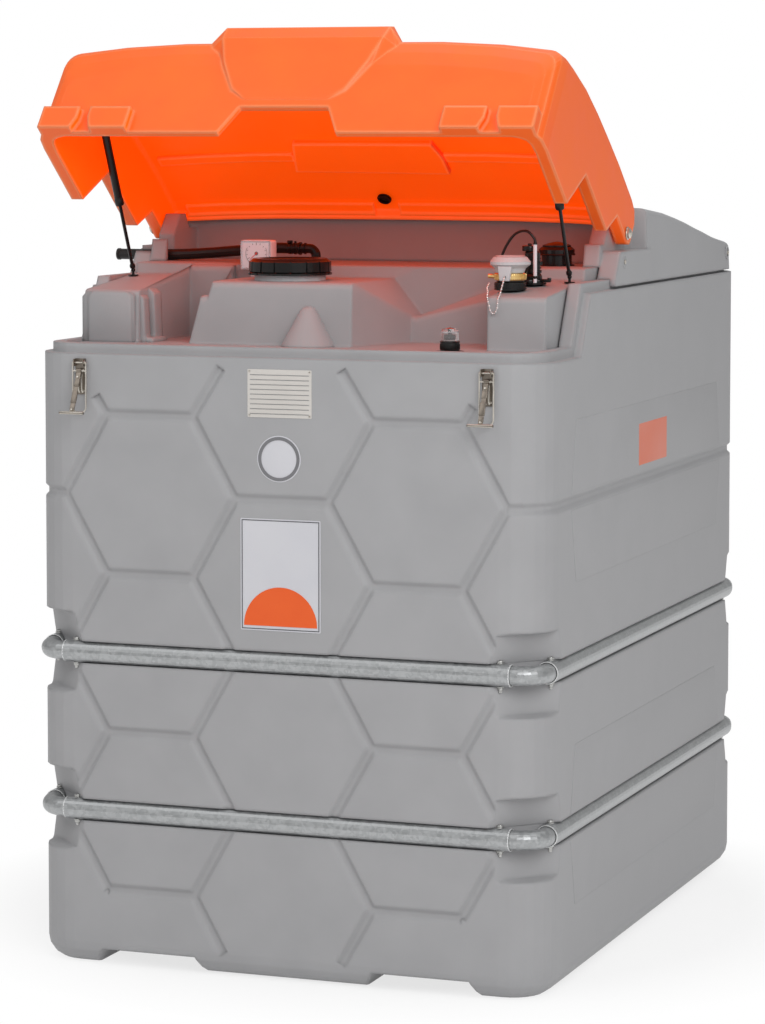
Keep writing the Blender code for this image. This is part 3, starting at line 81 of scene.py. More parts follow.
class Graph:
    """A node tree with short calls for adding and joining nodes."""

    def __init__(self, tree: bpy.types.NodeTree) -> None:
        """Wrap the node tree of a material, a world or a group."""
        self.tree = tree

    def feed(self, target: Socket, value: object) -> None:
        """Give an input its value.

        Args:
            target: the input.
            value: a socket to link, or the value to set.
        """
        if isinstance(value, Socket):
            self.tree.links.new(value, target)
        else:
            target.default_value = value

    def add(self, kind: str, feeds: Optional[Dict[object, object]] = None, **settings: object) -> bpy.types.Node:
        """Add a node.

        Args:
            kind: the node's type name, such as ShaderNodeMix.
            feeds: a socket or value for each input, by name or number.
            settings: properties to set on the new node.

        Returns:
            The new node.
        """
        node = self.tree.nodes.new(kind)
        for name, value in settings.items():
            setattr(node, name, value)
        for name, value in (feeds or {}).items():
            self.feed(node.inputs[name], value)
        return node

    def place(self) -> Socket:
        """Return the object coordinates."""
        return self.add("ShaderNodeTexCoord").outputs["Object"]

    def noise(self, place: Socket, scale: float, detail: float) -> Socket:
        """Return noise by its features per metre and its number of finer layers."""
        return self.add("ShaderNodeTexNoise", {"Vector": place, "Scale": scale, "Detail": detail}).outputs["Fac"]

    def span(self, value: Socket, source: Tuple[float, float], result: Tuple[float, float] = (0.0, 1.0)) -> Socket:
        """Map a value from one range to another, held at the ends.

        Args:
            value: the socket to map.
            source: start and end of the source range.
            result: the results at those.

        Returns:
            The mapped value.
        """
        feeds = {"Value": value, "From Min": source[0], "From Max": source[1], "To Min": result[0], "To Max": result[1]}
        return self.add("ShaderNodeMapRange", feeds).outputs["Result"]

    def maths(self, kind: str, first: Socket, second: object) -> Socket:
        """Join a socket and a socket or number by one of Blender's operations."""
        return self.add("ShaderNodeMath", {0: first, 1: second}, operation=kind).outputs["Value"]

    def mix(self, factor: Socket, first: object, second: object) -> Socket:
        """Mix two colours, each a socket or three numbers.

        Args:
            factor: 0 gives the first, 1 the second.
            first: colour at 0.
            second: colour at 1.

        Returns:
            The mixed colour.
        """
        node = self.add("ShaderNodeMix", {0: factor}, data_type="RGBA")
        for slot, colour in ((6, first), (7, second)):
            self.feed(node.inputs[slot], (*colour, 1.0) if isinstance(colour, tuple) else colour)
        return node.outputs[2]

    def facing(self, first: Socket, second: Socket) -> Socket:
        """Return the dot product of two directions."""
        return self.add("ShaderNodeVectorMath", {0: first, 1: second}, operation="DOT_PRODUCT").outputs["Value"]

    def effect(self, effect: "Effect", **values: float) -> bpy.types.Node:
        """Place a shared effect with its own values."""
        return self.add("ShaderNodeGroup", values, node_tree=effect.tree())

    def rounded(self, radius: float) -> Socket:
        """Return the normal as if edges were rounded to a radius."""
        return self.add("ShaderNodeBevel", {"Radius": radius}, samples=NORMAL_SAMPLES).outputs["Normal"]

    def seen(self, *rays: str) -> Socket:
        """Tell whether a ray is one of some kinds.

        Args:
            rays: outputs of the Light Path node.

        Returns:
            1 for such a ray, otherwise 0.
        """
        path = self.add("ShaderNodeLightPath").outputs
        found = path[rays[0]]
        for ray in rays[1:]:
            found = self.maths("MAXIMUM", found, path[ray])
        return found


class Group(Graph):
    """A shader node group in the making."""

    def __init__(self, name: str, outputs: Sequence[str], **inputs: float) -> None:
        """Start a group.

        Args:
            name: the group's name.
            outputs: names of its value outputs.
            inputs: each input's name and default number.
        """
        super().__init__(bpy.data.node_groups.new(name, "ShaderNodeTree"))
        for label, value in inputs.items():
            socket = self.tree.interface.new_socket(label, in_out="INPUT", socket_type="NodeSocketFloat")
            socket.default_value = value
        for label in outputs:
            self.tree.interface.new_socket(label, in_out="OUTPUT", socket_type="NodeSocketFloat")
        self.source = self.add("NodeGroupInput").outputs
        self.sink = self.add("NodeGroupOutput").inputs

    def scaled_place(self) -> Socket:
        """Return the object coordinates times the group's Fineness."""
        feeds = {0: self.place(), "Scale": self.source["Fineness"]}
        return self.add("ShaderNodeVectorMath", feeds, operation="SCALE").outputs[0]

    def weighted(self, first: Socket, share: float, second: Socket, other: float) -> Socket:
        """Return the sum of two values, each times its share."""
        return self.maths("ADD", self.maths("MULTIPLY", first, share), self.maths("MULTIPLY", second, other))

    def close(self, **results: Socket) -> bpy.types.NodeTree:
        """Join the group's outputs.

        Args:
            results: the socket for each output.

        Returns:
            The finished node tree.
        """
        for label, value in results.items():
            self.feed(self.sink[label], value)
        return self.tree


def make_grain() -> bpy.types.NodeTree:
    """Skin of moulded plastic: a fine grain over a slow mottle.

    Returns:
        A group with input Fineness and outputs Height and Mottle.
    """
    group = Group("moulded_grain", ("Height", "Mottle"), Fineness=1.0)
    place = group.scaled_place()
    fine = group.noise(place, 620.0, 4.0)
    slow = group.noise(place, 9.0, 3.0)
    middle = group.noise(place, 70.0, 2.0)
    return group.close(Height=group.weighted(fine, 1.0, middle, 0.6), Mottle=group.weighted(slow, 0.7, fine, 0.3))


def make_spangle() -> bpy.types.NodeTree:
    """Crystal pattern of hot-dip zinc.

    Returns:
        A group with input Fineness and outputs Shade and Height.
    """
    group = Group("zinc_spangle", ("Shade", "Height"), Fineness=1.0)
    place = group.scaled_place()
    cells = group.add("ShaderNodeTexVoronoi", {"Vector": place, "Scale": 150.0}).outputs["Color"]
    crystal = group.add("ShaderNodeSeparateColor", {0: cells}).outputs[0]
    shade = group.weighted(crystal, 0.45, group.noise(place, 26.0, 4.0), 0.55)
    return group.close(Shade=shade, Height=group.noise(place, 300.0, 2.0))


def make_edge_highlight() -> bpy.types.NodeTree:
    """Painted highlight: pale lines painted where the moulding turns sharply, standing in for sheen on its rounded
    edges.

    Returns:
        A group with output Mask.
    """
    group = Group("painted_edge_highlight", ("Mask",))
    facing = group.facing(group.rounded(0.012), group.add("ShaderNodeNewGeometry").outputs["Normal"])
    return group.close(Mask=group.span(facing, (0.955, 0.995), (1.0, 0.0)))


def make_painted_glow() -> bpy.types.NodeTree:
    """Painted glow: inner faces of the open hood, which are given an emission that stands in for daylight shining
    through it.

    Returns:
        A group with output Mask.
    """
    group = Group("hood_inside_painted_glow", ("Mask",))
    place = group.add("ShaderNodeTexCoord").outputs
    hollow = HOOD_OPEN @ Vector((0.0, -0.45, 1.52))
    away = group.add("ShaderNodeVectorMath", {0: place["Object"], 1: hollow}, operation="SUBTRACT").outputs[0]
    unit = group.add("ShaderNodeVectorMath", {0: away}, operation="NORMALIZE").outputs[0]
    return group.close(Mask=group.span(group.facing(unit, place["Normal"]), (-0.30, 0.02), (1.0, 0.0)))


class Effect(Enum):
    """Shared effects, each a node group built on first use."""

    GRAIN = "moulded_grain"
    SPANGLE = "zinc_spangle"
    PAINTED_GLOW = "hood_inside_painted_glow"
    EDGES = "painted_edge_highlight"

    def tree(self) -> bpy.types.NodeTree:
        """Return this effect's node group."""
        return bpy.data.node_groups.get(self.value) or EFFECT_MAKERS[self]()


EFFECT_MAKERS: Dict[Effect, Callable[[], bpy.types.NodeTree]] = {
    Effect.GRAIN: make_grain,
    Effect.SPANGLE: make_spangle,
    Effect.PAINTED_GLOW: make_painted_glow,
    Effect.EDGES: make_edge_highlight,
}


@dataclass(frozen=True)
class Finish:
    """A surface finish: two shades mixed by an effect, with its own relief."""

    name: str
    colour: Colour
    second: Colour
    roughness: Tuple[float, float]
    slot: str
    effect: Effect = Effect.GRAIN
    fineness: float = 1.0
    relief: float = 0.02
    relief_depth: float = 0.0005
    metallic: float = 0.0
    coat: float = 0.0
    transmission: float = 0.0
    specular: float = 0.5
    edge_radius: float = 0.0
    # Painted highlight: share and colour of pale lines painted along the sharp turns of the moulding.
    edge_highlight: float = 0.0
    edge_highlight_colour: Colour = (1.0, 0.42, 0.20)
    # Painted glow: strength and colour of an emission on the hood's inner faces, standing in for light through the
    # plastic.
    painted_glow: float = 0.0
    painted_glow_colour: Colour = (1.0, 0.085, 0.0)

    def material(self) -> bpy.types.Material:
        """Return the material, built on first use."""
        return bpy.data.materials.get(self.name) or self._build()

    def _build(self) -> bpy.types.Material:
        """Build the node tree.

        Returns:
            The new material.
        """
        made = bpy.data.materials.new(self.name)
        made.use_nodes = True
        graph = Graph(made.node_tree)
        effect = graph.effect(self.effect, Fineness=self.fineness).outputs
        mask = effect["Shade" if self.effect is Effect.SPANGLE else "Mottle"]
        colour = graph.mix(graph.span(mask, (0.32, 0.68)), self.colour, self.second)
        # Painted highlight: lighten the base colour along sharp edges.
        if self.edge_highlight > 0.0:
            edges = graph.effect(Effect.EDGES).outputs["Mask"]
            colour = graph.mix(graph.maths("MULTIPLY", edges, self.edge_highlight), colour, self.edge_highlight_colour)
        bump = {"Strength": self.relief, "Distance": self.relief_depth, "Height": effect["Height"]}
        if self.edge_radius > 0.0:
            bump["Normal"] = graph.rounded(self.edge_radius)
        feeds = {
            "Base Color": colour,
            "Roughness": graph.span(mask, (0.30, 0.70), self.roughness),
            "Metallic": self.metallic,
            "Coat Weight": self.coat,
            "Transmission Weight": self.transmission,
            "Specular IOR Level": self.specular,
            "Normal": graph.add("ShaderNodeBump", bump).outputs["Normal"],
        }
        # Painted glow: the inner faces emit light though they are no lamp.
        if self.painted_glow > 0.0:
            inside = graph.effect(Effect.PAINTED_GLOW).outputs["Mask"]
            feeds["Emission Color"] = graph.mix(inside, (0.0, 0.0, 0.0), self.painted_glow_colour)
            feeds["Emission Strength"] = self.painted_glow
        for name, value in feeds.items():
            graph.feed(made.node_tree.nodes["Principled BSDF"].inputs[name], value)
        return made


GREY_SHELL = Finish("grey_moulded_shell", (0.350, 0.349, 0.358), (0.385, 0.384, 0.393), (0.50, 0.62),
                    "grey_plastic", relief=0.16, edge_radius=0.011)
GREY_TRIM = replace(GREY_SHELL, name="grey_moulded_trim", edge_radius=0.0)
# The orange hood carries a painted highlight along its sharp edges and a painted glow on its inner faces.
ORANGE_SHELL = Finish("orange_moulded_shell", (1.0, 0.125, 0.002), (1.0, 0.150, 0.004), (0.40, 0.52),
                      "orange_plastic", relief=0.14, edge_radius=0.009, edge_highlight=0.55, painted_glow=0.50)
PALE_SHELL = Finish("pale_grey_moulding", (0.46, 0.46, 0.48), (0.56, 0.56, 0.57), (0.40, 0.55),
                    "pale_grey_plastic", relief=0.08)
BLACK_GLOSS = Finish("black_moulding", (0.006, 0.006, 0.006), (0.012, 0.011, 0.011), (0.16, 0.30),
                     "black_plastic", relief=0.06, specular=0.34)
BLACK_RUBBER = Finish("black_hose_rubber", (0.007, 0.006, 0.006), (0.014, 0.013, 0.012), (0.28, 0.44),
                      "black_rubber", relief=0.12, specular=0.30)
STRUT_BLACK = Finish("black_strut_paint", (0.005, 0.005, 0.005), (0.010, 0.010, 0.010), (0.24, 0.36),
                     "black_plastic", relief=0.05, specular=0.30)
ZINC = Finish("hot_dip_zinc", (0.36, 0.37, 0.375), (0.46, 0.47, 0.475), (0.34, 0.50),
              "galvanised_steel", Effect.SPANGLE, metallic=0.72, relief=0.08)
BOLT_ZINC = Finish("bolt_zinc", (0.42, 0.42, 0.41), (0.58, 0.58, 0.56), (0.26, 0.42),
                   "galvanised_steel", Effect.SPANGLE, 2.0, metallic=0.85, relief=0.06)
CUT_ZINC = replace(BOLT_ZINC, name="cut_zinc", colour=(0.66, 0.67, 0.67), second=(0.78, 0.79, 0.79), metallic=0.2)
PLATED = Finish("bright_plated_steel", (0.46, 0.43, 0.38), (0.66, 0.62, 0.56), (0.20, 0.36),
                "latch_steel", fineness=2.0, metallic=1.0, relief=0.03)
CHAIN = replace(PLATED, name="bright_chain", colour=(0.72, 0.72, 0.71), second=(0.90, 0.90, 0.89))
BRONZED = Finish("dark_plated_steel", (0.17, 0.145, 0.12), (0.30, 0.26, 0.22), (0.26, 0.42),
                 "latch_steel", fineness=3.0, metallic=0.9, relief=0.05)
BRASS = Finish("turned_brass", (0.72, 0.48, 0.17), (0.86, 0.62, 0.28), (0.22, 0.36),
               "brass", fineness=2.0, metallic=1.0, relief=0.04)
WHITE = Finish("white_moulding", (0.78, 0.78, 0.82), (0.84, 0.84, 0.87), (0.28, 0.40),
               "white_plastic", relief=0.04, coat=0.2)
CLEAR = Finish("clear_dome", (0.95, 0.90, 0.90), (1.0, 0.96, 0.96), (0.03, 0.08),
               "clear_plastic", relief=0.01, transmission=0.9)
CLEAR_RIM = Finish("clear_rim", (0.80, 0.80, 0.82), (0.90, 0.90, 0.92), (0.06, 0.14),
                   "clear_plastic", relief=0.01, transmission=0.7)
SHEET_WHITE = Finish("white_sheet", (0.60, 0.60, 0.64), (0.64, 0.64, 0.67), (0.36, 0.46), "white_plastic")
SHEET_CREAM = Finish("data_plate", (0.60, 0.575, 0.54), (0.65, 0.62, 0.585), (0.30, 0.42), "white_plastic")
SHEET_ORANGE = Finish("orange_print", (0.80, 0.10, 0.010), (0.86, 0.13, 0.015), (0.38, 0.46), "orange_plastic")
SHEET_RED = Finish("orange_red_sticker", (0.64, 0.105, 0.028), (0.68, 0.12, 0.036), (0.30, 0.42), "orange_plastic")
SHEET_DARK = Finish("dark_print", (0.055, 0.055, 0.065), (0.075, 0.075, 0.085), (0.40, 0.50), "black_plastic")
SHEET_GREY = Finish("grey_print", (0.16, 0.16, 0.17), (0.20, 0.20, 0.21), (0.36, 0.48), "black_plastic")
POINTER_RED = Finish("red_pointer", (0.62, 0.030, 0.020), (0.70, 0.045, 0.030), (0.30, 0.40), "orange_plastic")

NODE_FINISHES: Dict[Finish, Tuple[str, ...]] = {
    GREY_SHELL: ("outer_tank", "inner_tank", "rear_cover"),
    ORANGE_SHELL: ("lid",),
    PALE_SHELL: ("cap_collar", "dust_cap"),
    BLACK_GLOSS: ("lid_plug", "screw_cap", "hose_bend", "fill_neck", "limit_sensor", "vent", "leak_indicator_base"),
    BLACK_RUBBER: ("suction_hose", "sensor_lead"),
    ZINC: tuple(name for name in NODES if name.startswith(("rail_", "bend_"))),
    PLATED: tuple(name for name in NODES if name.startswith("hinge_pin") or name.endswith("_lever")),
    BRONZED: tuple(name for name in NODES if name.startswith("latch_") and not name.endswith("_lever")),
    STRUT_BLACK: tuple(name for name in NODES if name.startswith("strut_")),
    BRASS: ("fill_ring",),
    WHITE: ("level_gauge", "sensor_rod"),
    CLEAR: ("leak_indicator_dome",),
}
SOFT_EDGES = {"outer_tank": 0.006, "inner_tank": 0.007, "rear_cover": 0.006, "lid": 0.007}


def soften(item: bpy.types.Object, width: float, angle: float) -> None:
    """Bevel an object's sharp edges with a modifier.

    Args:
        item: the object.
        width: size of the bevel.
        angle: edges sharper than this are bevelled, in degrees.
    """
    bevel = item.modifiers.new("soft_edges", "BEVEL")
    bevel.width = width
    bevel.segments = 3
    bevel.limit_method = "ANGLE"
    bevel.angle_limit = math.radians(angle)


def dress_nodes() -> None:
    """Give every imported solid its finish, and the mouldings softened edges."""
    for finish, names in NODE_FINISHES.items():
        for name in names:
            slots = NODES[name].data.materials
            slots.clear()
            slots.append(finish.material())
    for name, width in SOFT_EDGES.items():
        NODES[name].modifiers.new("weld", "WELD").merge_threshold = 0.00005
        soften(NODES[name], width, 32.0)
        NODES[name].modifiers.new("even_normals", "WEIGHTED_NORMAL").keep_sharp = True


def at(centre: Point, axis: str = "Z") -> Matrix:
    """Return the seat at a point, with a part's own Z along an axis."""
    return Matrix.Translation(centre) @ ALONG[axis]


def square(inner: float, outer: float, low: float, high: float) -> Profile:
    """Return a rectangular profile."""
    return (inner, low), (outer, low), (outer, high), (inner, high)


def with_third(pair: Sequence[float], along: int, value: float) -> Point:
    """Return two numbers with a third put in at a place among them."""
    return (*pair[:along], value, *pair[along:])


def whole(mesh: BMesh) -> List[object]:
    """Return all the vertices, edges and faces of a mesh."""
    return mesh.verts[:] + mesh.edges[:] + mesh.faces[:]


def pick_edges(mesh: BMesh, axis: int, level: bool) -> List[bmesh.types.BMEdge]:
    """Return the edges that are square to an axis, or else the others."""
    return [e for e in mesh.edges if (abs(e.verts[0].co[axis] - e.verts[1].co[axis]) < 1e-6) == level]


def round_edges(mesh: BMesh, edges: Sequence[bmesh.types.BMEdge], width: float, segments: int = 2) -> None:
    """Round some edges of a mesh.

    Args:
        mesh: the mesh to change.
        edges: its edges to bevel.
        width: size of the bevel, or 0 to leave them sharp.
        segments: steps across it.
    """
    if width > 0.0:
        bmesh.ops.bevel(mesh, geom=list(edges), offset=width, offset_type="OFFSET", segments=segments,
                        profile=0.5, material=-1, affect="EDGES", clamp_overlap=True)


class Spot:
    """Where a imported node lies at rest."""

    def __init__(self, node: str) -> None:
        """Read a node's box.

        Args:
            node: the node's name.
        """
        self.low, self.high = (Vector(corner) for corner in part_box(node))
        self.middle = (self.low + self.high) / 2
        self.size = self.high - self.low
        self.radius = self.size.x / 2

    def foot(self, up: float = 0.0, x: float = 0.0, y: float = 0.0) -> Matrix:
        """Return a seat off the middle of the node's foot."""
        return Matrix.Translation((self.middle.x + x, self.middle.y + y, self.low.z + up))


class Shape:
    """A mesh in the making, with short calls for the solids that the fittings need.

    A seat is the matrix that takes a part from its own axes to its place.
    """

    def __init__(self) -> None:
        """Start with nothing."""
        self.mesh = bmesh.new()

    def take(self, part: BMesh, seat: Matrix = STILL) -> None:
        """Put a part in its place, copy it and free it.

        Args:
            part: the mesh to copy.
            seat: its seat.
        """
        bmesh.ops.transform(part, matrix=seat, verts=part.verts)
        data = bpy.data.meshes.new("scratch")
        part.to_mesh(data)
        part.free()
        self.mesh.from_mesh(data)
        bpy.data.meshes.remove(data)

    def block(self, seat: Matrix, size: Point, bevel: float = 0.0) -> None:
        """Add a block about its middle.

        Args:
            seat: its seat.
            size: its three lengths.
            bevel: rounding of its edges.
        """
        part = bmesh.new()
        bmesh.ops.create_cube(part, size=1.0)
        bmesh.ops.scale(part, vec=size, verts=part.verts)
        round_edges(part, part.edges, bevel)
        self.take(part, seat)

    def around(self, seat: Matrix, radius: float, count: int, size: Point, bevel: float) -> None:
        """Add equal blocks round a circle.

        Args:
            seat: seat of the circle's middle.
            radius: its radius.
            count: number of blocks.
            size: lengths of each block.
            bevel: rounding of its edges.
        """
        for number in range(count):
            turn = Matrix.Rotation(2 * math.pi * number / count, 4, "Z")
            self.block(seat @ turn @ Matrix.Translation((radius, 0.0, 0.0)), size, bevel)

    def disc(self, seat: Matrix, radius: float, height: float, sides: int = 24, bevel: float = 0.0,
             top: float = 0.0) -> None:
        """Add a round or many-sided disc or boss about its middle.

        Args:
            seat: its seat.
            radius: radius at its foot.
            height: length along its axis.
            sides: number of sides.
            bevel: rounding of the two rims.
            top: radius at its head, or 0 for the same.
        """
        part = bmesh.new()
        bmesh.ops.create_cone(part, cap_ends=True, segments=sides, radius1=radius, radius2=top or radius, depth=height)
        round_edges(part, pick_edges(part, 2, True), bevel)
        self.take(part, seat)

    def turned(self, seat: Matrix, profile: Profile, steps: int, radius: float = 0.0, closed: bool = True) -> None:
        """Add a turned shape.

        Args:
            seat: its seat.
            profile: points, as radius and height.
            steps: divisions round the circle.
            radius: what is added to each radius of the profile.
            closed: whether the last point joins the first.
        """
        part = bmesh.new()
        spots = [part.verts.new((radius + out, 0.0, up)) for out, up in profile]
        edges = [part.edges.new(pair) for pair in zip(spots, spots[1:] + spots[:1] * closed)]
        bmesh.ops.spin(part, geom=spots + edges, cent=(0, 0, 0), axis=(0, 0, 1), angle=2 * math.pi, steps=steps,
                       use_merge=True)
        bmesh.ops.remove_doubles(part, verts=part.verts, dist=0.00001)
        self.take(part, seat)

    def sector(self, seat: Matrix, profile: Profile, start: float, sweep: float, steps: int) -> None:
        """Add part of a turned shape, closed at both ends.

        Args:
            seat: its seat.
            profile: corners of its section, as radius and height.
            start: angle of its first end.
            sweep: angle that it covers.
            steps: divisions along it.
        """
        part = bmesh.new()
        part.faces.new([part.verts.new((out, 0.0, up)) for out, up in profile])
        bmesh.ops.rotate(part, cent=(0, 0, 0), matrix=Matrix.Rotation(start, 3, "Z"), verts=part.verts)
        bmesh.ops.spin(part, geom=whole(part), cent=(0, 0, 0), axis=(0, 0, 1), angle=sweep, steps=steps,
                       use_merge=False)
        self.take(part, seat)

    def slab(self, part: BMesh, step: Point, bevel: float = 0.0, segments: int = 2) -> None:
        """Give a flat part its thickness and add it.

        Args:
            part: a mesh of faces without thickness, freed here.
            step: direction and amount of the thickness.
            bevel: rounding of its edges.
            segments: steps across each rounding.
        """
        grown = bmesh.ops.extrude_face_region(part, geom=part.faces[:])["geom"]
        bmesh.ops.translate(part, vec=step, verts=[item for item in grown if isinstance(item, bmesh.types.BMVert)])
        bmesh.ops.recalc_face_normals(part, faces=part.faces)
        round_edges(part, part.edges, bevel, segments)
        self.take(part)

    def prism(self, outline: Profile, axis: str, low: float, high: float, bevel: float, segments: int = 2) -> None:
        """Add a straight bar with the given outline.

        Args:
            outline: corners in the two other axes, in order.
            axis: X, Y or Z, along which it runs.
            low: where it starts.
            high: where it ends.
            bevel: rounding of its edges.
            segments: steps across each rounding.
        """
        part = bmesh.new()
        along = "XYZ".index(axis)
        part.faces.new([part.verts.new(with_third(corner, along, low)) for corner in outline])
        self.slab(part, with_third((0.0, 0.0), along, high - low), bevel, segments)

    def panel(self, box: Box2, axis: str, low: float, high: float, corner: float = 0.0, bevel: float = 0.0) -> None:
        """Add a rectangular panel with rounded corners.

        Args:
            box: low and high along the first other axis, then the second.
            axis: X, Y or Z, its thin direction.
            low: where it starts along that axis.
            high: where it ends.
            corner: rounding of its four corners.
            bevel: rounding of the two rims.
        """
        along = "XYZ".index(axis)
        part = bmesh.new()
        bmesh.ops.create_cube(part, size=1.0)
        size = with_third((box[1] - box[0], box[3] - box[2]), along, high - low)
        bmesh.ops.scale(part, vec=size, verts=part.verts)
        round_edges(part, pick_edges(part, along, False), corner, 5)
        round_edges(part, pick_edges(part, along, True), bevel)
        self.take(part, at(with_third(((box[0] + box[1]) / 2, (box[2] + box[3]) / 2), along, (low + high) / 2)))

    def frame(self, box: Box2, width: float, low: float, high: float) -> None:
        """Add four thin bars round a rectangle that faces forward.

        Args:
            box: low x, high x, low z, high z of its outside.
            width: width of the bars.
            low: their front.
            high: their back.
        """
        left, right, foot, head = box
        for bar in ((left, right, head - width, head), (left, right, foot, foot + width),
                    (left, left + width, foot + width, head - width),
                    (right - width, right, foot + width, head - width)):
            self.panel(bar, "Y", low, high)

    def wire(self, points: Sequence[Point], radius: float) -> None:
        """Add a thin round wire along a route.

        Args:
            points: the route.
            radius: half the wire's thickness.
        """
        curve = bpy.data.curves.new("scratch", "CURVE")
        curve.dimensions = "3D"
        curve.bevel_depth = radius
        curve.bevel_resolution = 1
        curve.use_fill_caps = True
        spline = curve.splines.new("POLY")
        spline.points.add(len(points) - 1)
        for spot, point in zip(spline.points, points):
            spot.co = (*point, 1.0)
        holder = bpy.data.objects.new("scratch", curve)
        data = bpy.data.meshes.new_from_object(holder)
        self.mesh.from_mesh(data)
        bpy.data.objects.remove(holder)
        bpy.data.curves.remove(curve)
        bpy.data.meshes.remove(data)

    def finish(self, name: str, finish: Finish, body: str = TANK, smooth: float = 35.0) -> bpy.types.Object:
        """Turn the shape into a piece that rides on a body, and start afresh.

        Args:
            name: the piece's name.
            finish: its surface.
            body: the body that carries it.
            smooth: edges sharper than this angle stay crisp, in degrees.

        Returns:
            The new object.
        """
        bmesh.ops.remove_doubles(self.mesh, verts=self.mesh.verts, dist=0.000005)
        bmesh.ops.recalc_face_normals(self.mesh, faces=self.mesh.faces)
        data = bpy.data.meshes.new(name)
        self.mesh.to_mesh(data)
        self.mesh.clear()
        data.shade_smooth()
        data.set_sharp_from_angle(angle=math.radians(smooth))
        piece = bpy.data.objects.new(name, data)
        bpy.context.scene.collection.objects.link(piece)
        data.materials.append(finish.material())
        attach(piece, body)
        LOG.info("made %s", name)
        return piece


def even_points(route: Sequence[Point], step: float) -> List[Point]:
    """Walk a smooth curve through a route in equal steps.

    Args:
        route: the points that it passes.
        step: distance between the results.

    Returns:
        Points along the curve.
    """
    spots = [Vector(point) for point in route]
    spots = [spots[0] * 2 - spots[1]] + spots + [spots[-1] * 2 - spots[-2]]
    fine: List[Vector] = []
    for before, first, second, after in zip(spots, spots[1:], spots[2:], spots[3:]):
        handles = (first, first + (second - before) / 6, second - (after - first) / 6, second)
        fine.extend(interpolate_bezier(*handles, 13)[:-1])
    fine.append(spots[-2])
    result, left = [tuple(fine[0])], step
    for start, end in zip(fine, fine[1:]):
        reach = (end - start).length
        gone = 0.0
        while reach - gone >= left > 0.0:
            gone += left
            left = step
            result.append(tuple(start.lerp(end, gone / reach)))
        left -= reach - gone
    return result


@dataclass
class Labels:
    """Plain plates and stickers on the walls, all without lettering."""

    lift: float = 0.0006
    thickness: float = 0.0008
    sheet: Box2 = (-0.092, 0.092, 0.762, 1.003)
    sheet_inset: float = 0.003
    sheet_line: float = 0.0016
    half_disc_radius: float = 0.084
    half_disc_foot: float = 0.0105
    plate: Box2 = (-0.075, 0.072, 1.220, 1.323)
    plate_rows: int = 9
    row_inset: float = 0.006
    rivet_inset: float = 0.0045
    disc_centre: Tuple[float, float] = (-0.003, 1.132)
    disc_radius: float = 0.050
    ring_inset: Tuple[float, float] = (0.0095, 0.0025)
    side_sticker: Box2 = (-0.100, 0.130, 1.0735, 1.168)

    def _skin(self, off: float) -> Tuple[float, float]:
        """Return the two faces of a layer whose middle is at the given place."""
        return off - self.thickness / 2, off + self.thickness / 2

    def build(self) -> None:
        """Make every plate and sticker."""
        lower = self._skin(FRONT_Y - self.lift)
        upper = self._skin(FRONT_Y - self.lift - self.thickness)
        self._sheet(lower, upper)
        self._data_plate(lower, upper)
        self._sign()
        shape = Shape()
        shape.panel(self.side_sticker, "X", *self._skin(SIDE_X + self.lift), 0.003)
        shape.finish("side_sticker", SHEET_RED)

    def _sheet(self, lower: Tuple[float, float], upper: Tuple[float, float]) -> None:
        """Make the white sheet with its thin border and half-disc.

        Args:
            lower: faces of the layer on the wall.
            upper: faces of the layer on that.
        """
        left, right, foot, head = self.sheet
        inset = self.sheet_inset
        shape = Shape()
        shape.panel(self.sheet, "Y", *lower, 0.003)
        shape.finish("front_sheet", SHEET_WHITE)
        shape.frame((left + inset, right - inset, foot + inset, head - inset), self.sheet_line, *upper)
        shape.finish("sheet_border", SHEET_DARK)
        part = bmesh.new()
        bmesh.ops.create_circle(part, cap_ends=True, segments=72, radius=self.half_disc_radius)
        bmesh.ops.bisect_plane(part, geom=whole(part), plane_co=(0, 0, 0), plane_no=(0, -1, 0), clear_outer=True)
        seat = at(((left + right) / 2, upper[1], foot + self.half_disc_foot), "Y")
        bmesh.ops.transform(part, matrix=seat, verts=part.verts)
        shape.slab(part, (0, -self.thickness, 0))
        shape.finish("sheet_half_disc", SHEET_ORANGE)

    def _data_plate(self, lower: Tuple[float, float], upper: Tuple[float, float]) -> None:
        """Make the data plate with empty ruled lines.

        Args:
            lower: faces of the layer on the wall.
            upper: faces of the layer on that.
        """
        left, right, foot, head = self.plate
        shape = Shape()
        shape.panel(self.plate, "Y", *lower, 0.002)
        shape.finish("data_plate", SHEET_CREAM)
        for row in range(self.plate_rows):
            z = head - 0.012 - row * (head - foot - 0.020) / (self.plate_rows - 1)
            shape.panel((left + self.row_inset, right - self.row_inset, z - 0.0005, z + 0.0005), "Y", *upper)
        shape.finish("data_plate_lines", SHEET_GREY)
        for x in (left + self.rivet_inset, right - self.rivet_inset):
            for z in (foot + self.rivet_inset, head - self.rivet_inset):
                shape.disc(at((x, upper[0], z), "Y"), 0.0022, 0.0014, 12, 0.0004)
        shape.finish("data_plate_rivets", PLATED)

    def _sign(self) -> None:
        """Make the plain round sign: a white disc with a neutral ring."""
        x, z = self.disc_centre
        shape = Shape()
        shape.disc(at((x, FRONT_Y - self.lift, z), "Y"), self.disc_radius, self.thickness, 64, 0.0002)
        shape.finish("round_sign", SHEET_WHITE)
        inner, outer = (self.disc_radius - inset for inset in self.ring_inset)
        shape.turned(at((x, FRONT_Y, z), "Y"), square(inner, outer, *self._skin(self.lift + self.thickness)), 64)
        shape.finish("round_sign_ring", SHEET_GREY)


